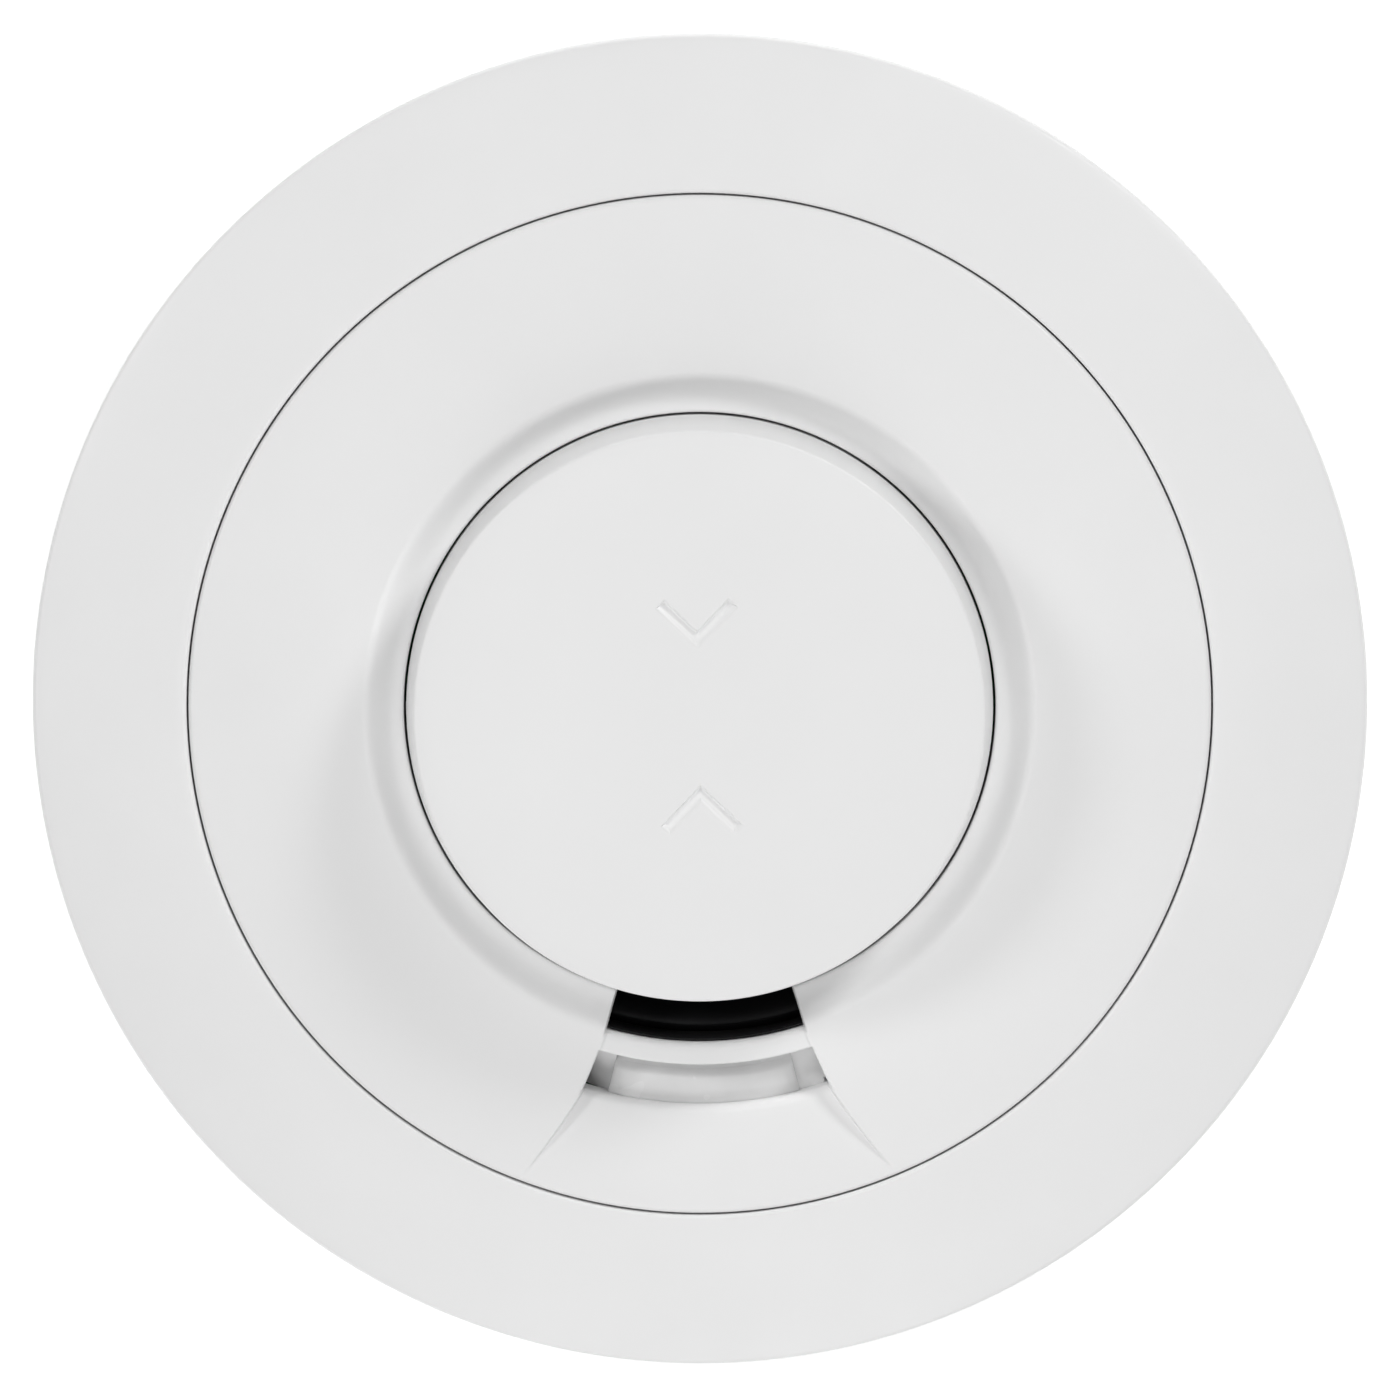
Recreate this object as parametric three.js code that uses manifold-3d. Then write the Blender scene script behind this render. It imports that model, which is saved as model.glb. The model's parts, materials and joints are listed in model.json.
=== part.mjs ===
// A round, ceiling-mounted optical smoke alarm with a large central test button.
// It lies on its back: the ceiling side is at z = 0 and the face looks along +Z.
// Millimetres. The origin is the centre of the ceiling side. -Y is the side with the
// smoke port and the status light.
import * as THREE from "three";
import { mergeVertices } from "three/addons/utils/BufferGeometryUtils.js";
import Module from "manifold-3d";

const wasm = await Module();
wasm.setup();

// ---------------------------------------------------------------- driving dimensions

const GAP = 0.3; // clearance between neighbouring pieces
const WALL = 1.8; // thickness of the outer mouldings
const SINK = 0.2; // how far a joined shape reaches into the one that carries it
const PAST = 2; // how far a cutting shape reaches past what it cuts

const RING_R = 65; // trim ring, the largest radius of the alarm
const RING_EDGE_Z = 20; // where the ring's top meets its side wall
const RING_FOOT_Z = 9.6; // lower edge of the ring's side wall
const SEAM_R = 49.8; // middle of the seam between trim ring and front cover
const SEAM_Z = 24; // height of the face at that seam
const FACE_SLOPE = 0.228; // the front cover's face is a cone that rises inwards
const RING_SLOPE = 0.2; // slope with which the trim ring leaves the seam
const SEAM_LIP_R = 48.6; // the ring's inward lip that the front cover rests on
const SEAM_LIP_Z = 20;
const CLAMP_RIB_R = 58.8; // inner radius of the ring's rib that stands on the flange
const CLAMP_RIB_WIDTH = 1.4;

const COLLAR_R = 28.75; // inside of the collar that the button slides in
const COLLAR_OUTER_R = 30.4;
const COLLAR_LIP_Z = 26; // the face dips to this height at the button
const COLLAR_FOOT_Z = 17;
const DISH_UNDERSIDE_Z = 24.2;
const DISH_EDGE_R = 33; // where the dip round the button meets the cone

const BUTTON_R = COLLAR_R - 0.35; // at the collar
const BUTTON_TOP_R = 27.7;
const BUTTON_TOP_Z = 36; // crown of the button, the highest point of the alarm
const BUTTON_CROWN = 0.5; // how far the crown stands above the button's rim
const BUTTON_FOOT_Z = 22.6;
const BUTTON_WALL = 1.8;
const BUTTON_CEILING_Z = 33.6; // underside of the button's top
const ARM_FOOT_Z = 15; // lower end of the arms that hang from the button

const CHANNEL_ANGLE = 269.6; // direction of the smoke port, the recess and the ramp
const PORT_OUTER_R = 32.6;
const PORT_HALF_ANGLE = 17.1;
const RECESS_INNER_R = 34.8;
const RECESS_OUTER_R = 39;
const RECESS_HALF_ANGLE = 17.9;
const RECESS_FLOOR_Z = 21.6;
const RAMP_DEPTH = 1.1; // step between the face and the ramp beside the recess
const RIM_R = 49.2; // where the ramp runs out into the face
const RIM_HALF_ANGLE = 21.7;

const GUIDE_ANGLE = 269.2; // middle of the light guide's bar
const GUIDE_HALF_ANGLE = 13.9;
const GUIDE_TOP_Z = 23.8;

const BASE_R = 57; // mounting base
const BASE_THICKNESS = 2.4;
const FLOOR_Z = 3; // underside of the rear housing
const FLOOR_THICKNESS = 1.6;
const HOUSING_FOOT_R = 52;
const HOUSING_R = 55.6;
const HOUSING_STEP_Z = 6.6;
const FLANGE_R = 61.8;
const FLANGE_Z = 12.4;
const FLANGE_THICKNESS = 1.6;

const BAYONET_ANGLES = [90, 210, 330];
const LUG_HALF_ANGLE = 6;
const LUG_R = 54.4; // tip of a lug, under its hook
const HOOK_HALF_ANGLE = 7;
const HOOK_INNER_R = 52.6;
const HOOK_STEM_R = 54.8;
const HOOK_OUTER_R = 56.8;
const HOOK_TOP_Z = 6.2;
const HOOK_LIP_THICKNESS = 1.3;

const SLOT_ANGLES = [0, 90, 180, 270];
const SLOT_CIRCLE_R = 30;
const SLOT_LENGTH = 14;
const SLOT_WIDTH = 4.5;
const SLOT_HEAD_WIDTH = 9;
const SLOT_HEAD_Z = 1.2; // seat of the fixing screw's head
const CABLE_HOLE_R = 6;
const TWIST_DEGREES = 15; // turn that frees the lugs from the hooks

const BOARD_R = 48;
const BOARD_Z = 7.4;
const BOARD_THICKNESS = 1.6;
const BOARD_CUT_Y = 30.6; // the board is cut off straight here, beside the cell
const BOARD_TOP_Z = BOARD_Z + BOARD_THICKNESS;

const SCREW_ANGLES = [35, 145, 270];
const SCREW_CIRCLE_R = 43;
const BOSS_R = 3.4; // tube in the rear housing that a housing screw passes through
const BOSS_TOP_Z = 13.6;
const POST_R = 3.2; // post under the front cover that the screw bites into
const POST_TOP_Z = 24.4;
const SCREW_HEAD_SEAT_Z = 5;
const SCREW_TIP_Z = 18;
const SCREW_SHANK_R = 1.4;
const SCREW_HEAD_R = 2.6;
const BOARD_SCREW_ANGLES = [170, 350];
const BOARD_SCREW_CIRCLE_R = 42;
const BOARD_SCREW_SHANK_R = 1.1;
const BOARD_SCREW_HEAD_R = 2.3;
const STANDOFF_R = 2.8;
const STANDOFF_TOP_Z = 7.2;

const CHAMBER_R = 24.6; // outside of the insect screen
const CHAMBER_TOP_Z = 22;
const CHAMBER_LID = 1.4; // thickness of its lid
const CHAMBER_FLOOR = 1.6; // thickness of its floor
const VANE_COUNT = 24;

const SOUNDER_R = 18;
const SOUNDER_Z = CHAMBER_TOP_Z + GAP;
const SPRING_CIRCLE_R = 21.6;
const SPRING_ANGLES = [90, 210, 330];
const SPRING_INNER_R = 1.5;
const SPRING_OUTER_R = 2.1;

const CELL_R = 8.5; // lithium cell, 17 mm by 33.5 mm
const CELL_LENGTH = 33.5;
const CELL_Y = 38.8;
const CELL_Z = 13.3;

const SWITCH_ANGLE = 30;
const SWITCH_CIRCLE_R = 28.2;
const PLUNGER_R = 1.75;
const PLUNGER_FOOT_Z = 11.6;

const STATUS_LED_Y = -36.8; // under the middle of the light guide

const PIN_ANGLE = 200;
const PIN_CIRCLE_R = 38;
const PIN_R = 1.4;
const PIN_TOP_Z = 12;
const PIN_DROP = 1.5; // how far the power pin comes out over the full twist

// Facets in a full circle, for large visible, middle-sized and small round pieces.
const LARGE = 48;
const MIDDLE = 28;
const SMALL = 12;

// ------------------------------------------------------------------------- materials

function plastic(color, roughness = 0.45) {
  return new THREE.MeshStandardMaterial({ color, roughness, metalness: 0 });
}

function metal(color, roughness = 0.35) {
  return new THREE.MeshStandardMaterial({ color, roughness, metalness: 1 });
}

const whitePlastic = plastic(0xf1f1ef);
const blackPlastic = plastic(0x17181a, 0.6);
const milkyPlastic = plastic(0xe6e8e8, 0.3);
const boardLaminate = plastic(0x1f5a35, 0.5);
const chipBlack = plastic(0x202124, 0.4);
const cellSleeve = plastic(0x3c5f8a, 0.4);
const capacitorSleeve = plastic(0x23262b, 0.4);
const leadRed = plastic(0xa23428, 0.5);
const screenMetal = metal(0x55585c, 0.5);
const steel = metal(0xb9bcc0);
const brass = metal(0xc8a860);
const nickel = metal(0xc9c9c4);

// ----------------------------------------------------------------------- solid making

const radians = (degrees) => (degrees * Math.PI) / 180;

// A closed three.js geometry as a solid that can be joined and cut.
function solid(geometry) {
  const plain = geometry.clone();
  plain.deleteAttribute("normal");
  plain.deleteAttribute("uv");
  const merged = mergeVertices(plain, 1e-4);
  const mesh = new wasm.Mesh({
    numProp: 3,
    vertProperties: new Float32Array(merged.attributes.position.array),
    triVerts: new Uint32Array(merged.index.array),
  });
  return new wasm.Manifold(mesh);
}

// A solid back as a three.js geometry.
function geometryOf(body) {
  const mesh = body.getMesh();
  const geometry = new THREE.BufferGeometry();
  geometry.setAttribute("position", new THREE.BufferAttribute(mesh.vertProperties, 3));
  geometry.setIndex(new THREE.BufferAttribute(mesh.triVerts, 1));
  geometry.computeVertexNormals();
  return geometry;
}

function join(first, ...others) {
  return others.reduce((body, other) => body.add(other), first);
}

function cut(first, ...others) {
  return others.reduce((body, other) => body.subtract(other), first);
}

// A profile of [radius, height] points turned about Z. It runs anticlockwise, seen
// with the radius to the right and the height upwards, so that its faces look out.
function turned(profile, facets) {
  const points = profile.map(([r, z]) => new THREE.Vector2(r, z));
  const closed = profile[0][0] > 0 || profile[profile.length - 1][0] > 0;
  if (closed) points.push(points[0].clone());
  return solid(new THREE.LatheGeometry(points, facets).rotateX(Math.PI / 2));
}

// A plan outline raised from one height to another.
function raised(shape, z0, z1, curveSegments = 6) {
  const options = { depth: z1 - z0, bevelEnabled: false, curveSegments };
  return solid(new THREE.ExtrudeGeometry(shape, options).translate(0, 0, z0));
}

// A wall that follows a circle: from r0 to r1, over angle +- halfAngle, from z0 to z1.
function sector(r0, r1, angle, halfAngle, z0, z1, curveSegments = 6) {
  const start = radians(angle - halfAngle);
  const end = radians(angle + halfAngle);
  const shape = new THREE.Shape();
  shape.absarc(0, 0, r1, start, end, false);
  shape.absarc(0, 0, r0, end, start, true);
  shape.closePath();
  return raised(shape, z0, z1, curveSegments);
}

function rod(r, z0, z1, x = 0, y = 0, facets = SMALL) {
  const geometry = new THREE.CylinderGeometry(r, r, z1 - z0, facets);
  geometry.rotateX(Math.PI / 2).translate(x, y, (z0 + z1) / 2);
  return solid(geometry);
}

// A block given by its size and the centre of its lower face, turned about Z.
function block(size, x, y, z0, angle = 0) {
  const geometry = new THREE.BoxGeometry(...size);
  geometry.translate(0, 0, z0 + size[2] / 2);
  geometry.rotateZ(radians(angle)).translate(x, y, 0);
  return solid(geometry);
}

// The point at this radius and angle, as [x, y].
function polar(r, angle) {
  return [r * Math.cos(radians(angle)), r * Math.sin(radians(angle))];
}

function piece(group, name, body, material) {
  const mesh = new THREE.Mesh(geometryOf(body), material);
  mesh.name = name;
  group.add(mesh);
  return mesh;
}

// --------------------------------------------------------------------- shared surfaces

// Height of the face at a radius, inside the seam.
function faceZ(r) {
  return SEAM_Z + FACE_SLOPE * (SEAM_R - r);
}

// Height of the trim ring's top, which falls away faster and faster towards its edge.
function ringZ(r) {
  const run = r - SEAM_R;
  const fullRun = RING_R - SEAM_R;
  const bend = (SEAM_Z - RING_EDGE_Z - RING_SLOPE * fullRun) / (fullRun * fullRun);
  return SEAM_Z - RING_SLOPE * run - bend * run * run;
}

function steps(from, to, count) {
  return Array.from({ length: count + 1 }, (_, i) => from + ((to - from) * i) / count);
}

// ---------------------------------------------------------------------- mounting base

// One bayonet hook: a stem, a lip that reaches inwards over a lug, and an end stop.
function bayonetHook(angle) {
  const bottom = BASE_THICKNESS - SINK;
  const top = HOOK_TOP_Z;
  const lipZ = top - HOOK_LIP_THICKNESS;
  const stopHalf = 1;
  const stem = sector(HOOK_STEM_R, HOOK_OUTER_R, angle, HOOK_HALF_ANGLE, bottom, top, 4);
  const lip = sector(HOOK_INNER_R, HOOK_STEM_R + SINK, angle, HOOK_HALF_ANGLE, lipZ, top, 4);
  const stopAngle = angle - HOOK_HALF_ANGLE - stopHalf + 0.1;
  const stop = sector(HOOK_INNER_R, HOOK_OUTER_R, stopAngle, stopHalf, bottom, top, 2);
  return join(stem, lip, stop);
}

// A slot for a fixing screw, with a wider recess for the screw's head.
function screwSlot(angle) {
  const [x, y] = polar(SLOT_CIRCLE_R, angle);
  const height = BASE_THICKNESS + 2 * PAST;
  const headLength = SLOT_LENGTH + SLOT_HEAD_WIDTH - SLOT_WIDTH;
  const through = block([SLOT_WIDTH, SLOT_LENGTH, height], x, y, -PAST, angle);
  const headRecess = block([SLOT_HEAD_WIDTH, headLength, height], x, y, SLOT_HEAD_Z, angle);
  return join(through, headRecess);
}

// The groove that lets the power pin down while the head is turned to unlock it.
function pinGroove() {
  const arc = PIN_CIRCLE_R * radians(TWIST_DEGREES);
  const fall = PIN_DROP / arc;
  const lead = 1.5; // the slope starts this far before the pin
  const tail = 2.2; // and the groove ends this far past it
  const halfWidth = 2.6;
  const deepest = 0.8;
  const flatStart = (BASE_THICKNESS - deepest) / fall - lead;
  const shape = new THREE.Shape();
  shape.moveTo(-lead, BASE_THICKNESS);
  shape.lineTo(flatStart, deepest);
  shape.lineTo(arc + tail, deepest);
  shape.lineTo(arc + tail, BASE_THICKNESS + 1);
  shape.lineTo(-lead, BASE_THICKNESS + 1);
  shape.closePath();
  const geometry = new THREE.ExtrudeGeometry(shape, { depth: 2 * halfWidth, bevelEnabled: false });
  // The outline's first axis becomes the direction of travel at the middle of the arc.
  geometry.translate(-arc / 2, 0, -halfWidth);
  geometry.rotateX(Math.PI / 2).rotateZ(Math.PI / 2).translate(PIN_CIRCLE_R, 0, 0);
  geometry.rotateZ(radians(PIN_ANGLE + TWIST_DEGREES / 2));
  return solid(geometry);
}

function mountingBase() {
  const chamfer = 0.6;
  const plate = turned(
    [
      [0, 0],
      [BASE_R - chamfer, 0],
      [BASE_R, chamfer],
      [BASE_R, BASE_THICKNESS],
      [0, BASE_THICKNESS],
    ],
    LARGE,
  );
  const withHooks = join(plate, ...BAYONET_ANGLES.map(bayonetHook));
  const slots = SLOT_ANGLES.map(screwSlot);
  const centreHole = rod(CABLE_HOLE_R, -PAST, BASE_THICKNESS + PAST, 0, 0, 24);
  return cut(withHooks, centreHole, pinGroove(), ...slots);
}

// ----------------------------------------------------------------------- rear housing

function screwBoss(angle) {
  const [x, y] = polar(SCREW_CIRCLE_R, angle);
  return rod(BOSS_R, FLOOR_Z + SINK, BOSS_TOP_Z, x, y);
}

function screwBore(angle) {
  const [x, y] = polar(SCREW_CIRCLE_R, angle);
  const bottom = FLOOR_Z - PAST;
  const headRecess = rod(SCREW_HEAD_R + GAP, bottom, SCREW_HEAD_SEAT_Z, x, y);
  return join(rod(SCREW_SHANK_R + GAP, bottom, BOSS_TOP_Z + PAST, x, y), headRecess);
}

function boardStandoff(angle) {
  const [x, y] = polar(BOARD_SCREW_CIRCLE_R, angle);
  const post = rod(STANDOFF_R, FLOOR_Z + SINK, STANDOFF_TOP_Z, x, y);
  const pilotHole = rod(BOARD_SCREW_SHANK_R + 0.2, FLOOR_Z + 1, STANDOFF_TOP_Z + PAST, x, y);
  return cut(post, pilotHole);
}

// Two ribs across the floor that the cell lies on, hollowed to its round side.
function cellCradle() {
  const ribSize = [1.4, 15, 5];
  const reach = 10; // of each rib from the cell's middle
  const ribs = [-reach, reach].map((x) => block(ribSize, x, CELL_Y, FLOOR_Z + SINK));
  const hollowR = CELL_R + GAP;
  const hollow = new THREE.CylinderGeometry(hollowR, hollowR, CELL_LENGTH + PAST, 32);
  hollow.rotateZ(Math.PI / 2).translate(0, CELL_Y, CELL_Z);
  return cut(join(...ribs), solid(hollow));
}

// Slots through the upper wall, where room air with smoke comes in from the sides.
// There is none beside the cell.
function inletSlots() {
  const pitch = 15;
  const halfAngle = 5;
  const [first, last] = [120, 420];
  const [bottom, top] = [FLANGE_Z - 4, FLANGE_Z - 1];
  const [inner, outer] = [HOUSING_R - FLOOR_THICKNESS - PAST, HOUSING_R + PAST];
  const angles = steps(first, last, (last - first) / pitch);
  return join(...angles.map((angle) => sector(inner, outer, angle, halfAngle, bottom, top, 2)));
}

function rearHousing() {
  const floorTop = FLOOR_Z + FLOOR_THICKNESS;
  const flangeTop = FLANGE_Z + FLANGE_THICKNESS;
  const stepTop = HOUSING_STEP_Z + 1.2;
  const footWall = 1.3;
  const facets = 36;
  const shell = turned(
    [
      [0, FLOOR_Z],
      [HOUSING_FOOT_R, FLOOR_Z],
      [HOUSING_FOOT_R, HOUSING_STEP_Z],
      [HOUSING_R, HOUSING_STEP_Z],
      [HOUSING_R, FLANGE_Z],
      [FLANGE_R, FLANGE_Z],
      [FLANGE_R, flangeTop],
      [HOUSING_R - FLOOR_THICKNESS, flangeTop],
      [HOUSING_R - FLOOR_THICKNESS, stepTop],
      [HOUSING_FOOT_R - footWall, stepTop],
      [HOUSING_FOOT_R - footWall, floorTop],
      [0, floorTop],
    ],
    facets,
  );
  const lugRoot = HOUSING_FOOT_R - footWall / 2;
  const lugs = BAYONET_ANGLES.map((angle) =>
    sector(lugRoot, LUG_R, angle, LUG_HALF_ANGLE, FLOOR_Z + 0.2, floorTop, 4),
  );
  const body = join(
    shell,
    ...lugs,
    ...SCREW_ANGLES.map(screwBoss),
    ...BOARD_SCREW_ANGLES.map(boardStandoff),
    cellCradle(),
  );
  const pinPlace = polar(PIN_CIRCLE_R, PIN_ANGLE);
  const pinHole = rod(PIN_R + GAP, FLOOR_Z - PAST, floorTop + PAST, ...pinPlace);
  return cut(body, pinHole, inletSlots(), ...SCREW_ANGLES.map(screwBore));
}

// -------------------------------------------------------------------------- trim ring

function trimRing() {
  const inner = SEAM_R + GAP / 2;
  const hub = inner + 1.65;
  const skin = 2;
  const edge = 0.35;
  const lipBottom = SEAM_LIP_Z - 1.2;
  const ribFoot = FLANGE_Z + FLANGE_THICKNESS + GAP;
  const ribOuter = CLAMP_RIB_R + CLAMP_RIB_WIDTH;
  const top = steps(RING_R - 0.5, inner + edge, 4).map((r) => [r, ringZ(r)]);
  const profile = [
    [RING_R, RING_EDGE_Z - 0.3],
    ...top,
    [inner, SEAM_Z - edge],
    [inner, SEAM_LIP_Z],
    [SEAM_LIP_R, SEAM_LIP_Z],
    [SEAM_LIP_R, lipBottom],
    [hub, lipBottom],
    [hub, ringZ(hub) - skin],
    [CLAMP_RIB_R, ringZ(CLAMP_RIB_R) - skin],
    [CLAMP_RIB_R, ribFoot],
    [ribOuter, ribFoot],
    [ribOuter, ringZ(ribOuter) - skin],
    [RING_R - skin, RING_EDGE_Z - skin],
    [RING_R - skin - 0.6, RING_FOOT_Z],
    [RING_R - 1.1, RING_FOOT_Z],
    [RING_R - 0.6, RING_FOOT_Z + 0.5],
  ];
  return turned(profile, LARGE);
}

// ------------------------------------------------------------------------ front cover

// The dip round the button: from the cone a short steep wall, then a curve that
// flattens out towards the lip of the collar.
function dishProfile() {
  const curve = new THREE.SplineCurve([
    new THREE.Vector2(DISH_EDGE_R, faceZ(DISH_EDGE_R) - 0.05),
    new THREE.Vector2(DISH_EDGE_R - 0.9, COLLAR_LIP_Z + 1.66),
    new THREE.Vector2(DISH_EDGE_R - 1.8, COLLAR_LIP_Z + 0.9),
    new THREE.Vector2(DISH_EDGE_R - 3, COLLAR_LIP_Z + 0.12),
    new THREE.Vector2(COLLAR_R + 0.3, COLLAR_LIP_Z),
  ]);
  return curve.getPoints(6).map((point) => [point.x, point.y]);
}

function coverShell() {
  const outer = SEAM_R - GAP / 2;
  const edge = 0.35;
  const wallR = outer - 1.65;
  const profile = [
    [outer, SEAM_Z - edge],
    [outer - edge, faceZ(outer - edge)],
    [DISH_EDGE_R + 0.6, faceZ(DISH_EDGE_R + 0.6)],
    ...dishProfile(),
    [COLLAR_R, COLLAR_LIP_Z - 0.3],
    [COLLAR_R, COLLAR_FOOT_Z],
    [COLLAR_OUTER_R, COLLAR_FOOT_Z],
    [COLLAR_OUTER_R, DISH_UNDERSIDE_Z],
    [PORT_OUTER_R, DISH_UNDERSIDE_Z + 0.6],
    [DISH_EDGE_R + 0.6, faceZ(DISH_EDGE_R + 0.6) - WALL],
    [wallR, faceZ(wallR) - WALL],
    [wallR, SEAM_LIP_Z + GAP],
    [outer, SEAM_LIP_Z + GAP],
  ];
  return turned(profile, LARGE);
}

// A post under the cover that a housing screw bites into.
function coverPost(angle) {
  const [x, y] = polar(SCREW_CIRCLE_R, angle);
  const post = rod(POST_R, BOSS_TOP_Z + GAP, POST_TOP_Z, x, y);
  return cut(post, rod(SCREW_SHANK_R + 0.2, BOSS_TOP_Z - 1, SCREW_TIP_Z + PAST, x, y));
}

// Extra thickness under the face, between two radii about the channel.
function pad(r0, r1, halfAngle, bottom) {
  const cover = 1.5; // the pad's top lies this far under the face
  const ring = turned(
    [
      [r0, bottom],
      [r1, bottom],
      [r1, faceZ(r1) - cover],
      [r0, faceZ(r0) - cover],
    ],
    LARGE,
  );
  const plan = sector(r0 - PAST, r1 + PAST, CHANNEL_ANGLE, halfAngle, 0, BUTTON_TOP_Z);
  return ring.intersect(plan);
}

// The wedge above the ramp, which sinks from the face at the cover's rim to the recess.
function rampCut() {
  const overlap = 1.2; // the wedge starts this far inside the recess
  const innerX = RECESS_OUTER_R * Math.sin(radians(RECESS_HALF_ANGLE)) + 0.1;
  const outerX = RIM_R * Math.sin(radians(RIM_HALF_ANGLE));
  const innerY = -RECESS_OUTER_R * Math.cos(radians(RECESS_HALF_ANGLE)) + overlap;
  const outerY = -RIM_R * Math.cos(radians(RIM_HALF_ANGLE));
  const lowZ = faceZ(RECESS_OUTER_R) - RAMP_DEPTH;
  const highZ = faceZ(RIM_R) + 0.02;
  const pastR = RIM_R + 6; // the wedge goes on past the cover
  const outline = new THREE.Shape();
  outline.moveTo(-innerX, innerY);
  outline.lineTo(innerX, innerY);
  outline.lineTo(outerX, outerY);
  outline.lineTo(outerX, -pastR);
  outline.lineTo(-outerX, -pastR);
  outline.lineTo(-outerX, outerY);
  outline.closePath();
  const plan = raised(outline, lowZ - 1, BUTTON_TOP_Z).rotate([0, 0, CHANNEL_ANGLE - 270]);
  const fall = (highZ - lowZ) / (RIM_R - RECESS_OUTER_R);
  const belowRamp = turned(
    [
      [0, 0],
      [pastR, 0],
      [pastR, highZ + fall * (pastR - RIM_R)],
      [RECESS_OUTER_R, lowZ],
      [0, lowZ],
    ],
    LARGE,
  );
  return cut(plan, belowRamp);
}

// The recess outside the port. It has a floor at both ends of the light guide, with a
// drain slot in the left one.
function recessCut() {
  const [inner, outer] = [RECESS_INNER_R, RECESS_OUTER_R];
  const bottom = RECESS_FLOOR_Z - 4;
  const top = BUTTON_TOP_Z;
  const open = sector(inner, outer, CHANNEL_ANGLE, RECESS_HALF_ANGLE, RECESS_FLOOR_Z, top);
  const half = GUIDE_HALF_ANGLE + 0.4;
  const guideHole = sector(inner + 0.1, outer - 0.1, GUIDE_ANGLE, half, bottom, top);
  const drainAngle = CHANNEL_ANGLE - RECESS_HALF_ANGLE + 1.5;
  const drain = sector(outer - 1.6, outer - 0.2, drainAngle, 1, bottom, top, 1);
  return join(open, guideHole, drain);
}

function frontCover() {
  const plateBottom = RECESS_FLOOR_Z - 1.2;
  const plateHalf = RECESS_HALF_ANGLE + 3;
  const rampHalf = RIM_HALF_ANGLE + 3;
  const plate = [PORT_OUTER_R - 0.6, RECESS_OUTER_R + 1.1, CHANNEL_ANGLE, plateHalf];
  const pads = [
    pad(PORT_OUTER_R - 0.7, RECESS_INNER_R + SINK, plateHalf, plateBottom + 0.1),
    pad(RECESS_OUTER_R - SINK, SEAM_R - 1.6, rampHalf, plateBottom + 1.4),
    sector(...plate, plateBottom, RECESS_FLOOR_Z + SINK),
  ];
  const body = join(coverShell(), ...pads, ...SCREW_ANGLES.map(coverPost));
  const portCut = [COLLAR_R - PAST, PORT_OUTER_R, CHANNEL_ANGLE, PORT_HALF_ANGLE];
  const port = sector(...portCut, COLLAR_FOOT_Z - PAST, BUTTON_TOP_Z);
  return cut(body, port, recessCut(), rampCut());
}

// ------------------------------------------------------------------------ test button

// One plain arrowhead, cut into the button's top: it points at the button's centre.
function pressMark(direction) {
  const apex = 6.6;
  const reach = 4;
  const stroke = 1.7; // measured along Y, so 1.2 across an arm
  const shape = new THREE.Shape();
  shape.moveTo(0, apex);
  shape.lineTo(reach, apex + reach);
  shape.lineTo(reach - stroke / 2, apex + reach + stroke / 2);
  shape.lineTo(0, apex + stroke);
  shape.lineTo(-reach + stroke / 2, apex + reach + stroke / 2);
  shape.lineTo(-reach, apex + reach);
  shape.closePath();
  const floor = BUTTON_TOP_Z - 0.45;
  return raised(shape, floor, BUTTON_TOP_Z + 1).rotate([0, 0, direction]);
}

// An arm that hangs from the button's edge, inside the collar.
function buttonArm(angle) {
  const halfAngle = 5;
  const inner = BUTTON_R - BUTTON_WALL;
  const outer = BUTTON_R - SINK;
  return sector(inner, outer, angle, halfAngle, ARM_FOOT_Z, BUTTON_FOOT_Z + 2 * SINK, 3);
}

// The barb on an arm that catches under the collar and stops the button coming out.
function snapHook(angle) {
  const halfAngle = 4;
  const catchDepth = 0.65;
  const inner = BUTTON_R - 3 * SINK;
  const top = COLLAR_FOOT_Z - GAP;
  return sector(inner, COLLAR_R + catchDepth, angle, halfAngle, ARM_FOOT_Z, top, 3);
}

// The post under the button's top that keeps a spring in its place.
function springPost(angle) {
  const [x, y] = polar(SPRING_CIRCLE_R, angle);
  const tipZ = BUTTON_CEILING_Z - 7.6;
  return rod(SPRING_INNER_R - 0.4, tipZ, BUTTON_CEILING_Z + 2 * SINK, x, y);
}

function testButton() {
  const rimZ = BUTTON_TOP_Z - BUTTON_CROWN;
  const inner = BUTTON_R - BUTTON_WALL;
  const crown = [0, 0.5, 1].map((part) => [
    (BUTTON_TOP_R - 0.9) * part,
    BUTTON_TOP_Z - BUTTON_CROWN * part * part,
  ]);
  const cap = turned(
    [
      [0, BUTTON_CEILING_Z],
      [inner, BUTTON_CEILING_Z],
      [inner, BUTTON_FOOT_Z],
      [BUTTON_R, BUTTON_FOOT_Z],
      [BUTTON_R, COLLAR_LIP_Z],
      [BUTTON_TOP_R, rimZ - 0.8],
      [BUTTON_TOP_R - 0.3, rimZ - 0.25],
      ...crown.reverse(),
    ],
    LARGE,
  );
  const snapAngles = [150, 210, 330];
  const body = join(
    cap,
    ...[SWITCH_ANGLE, ...snapAngles].map(buttonArm),
    ...snapAngles.map(snapHook),
    ...SPRING_ANGLES.map(springPost),
  );
  return cut(body, pressMark(0), pressMark(180));
}

// ----------------------------------------------------------------------- smoke chamber

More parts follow.
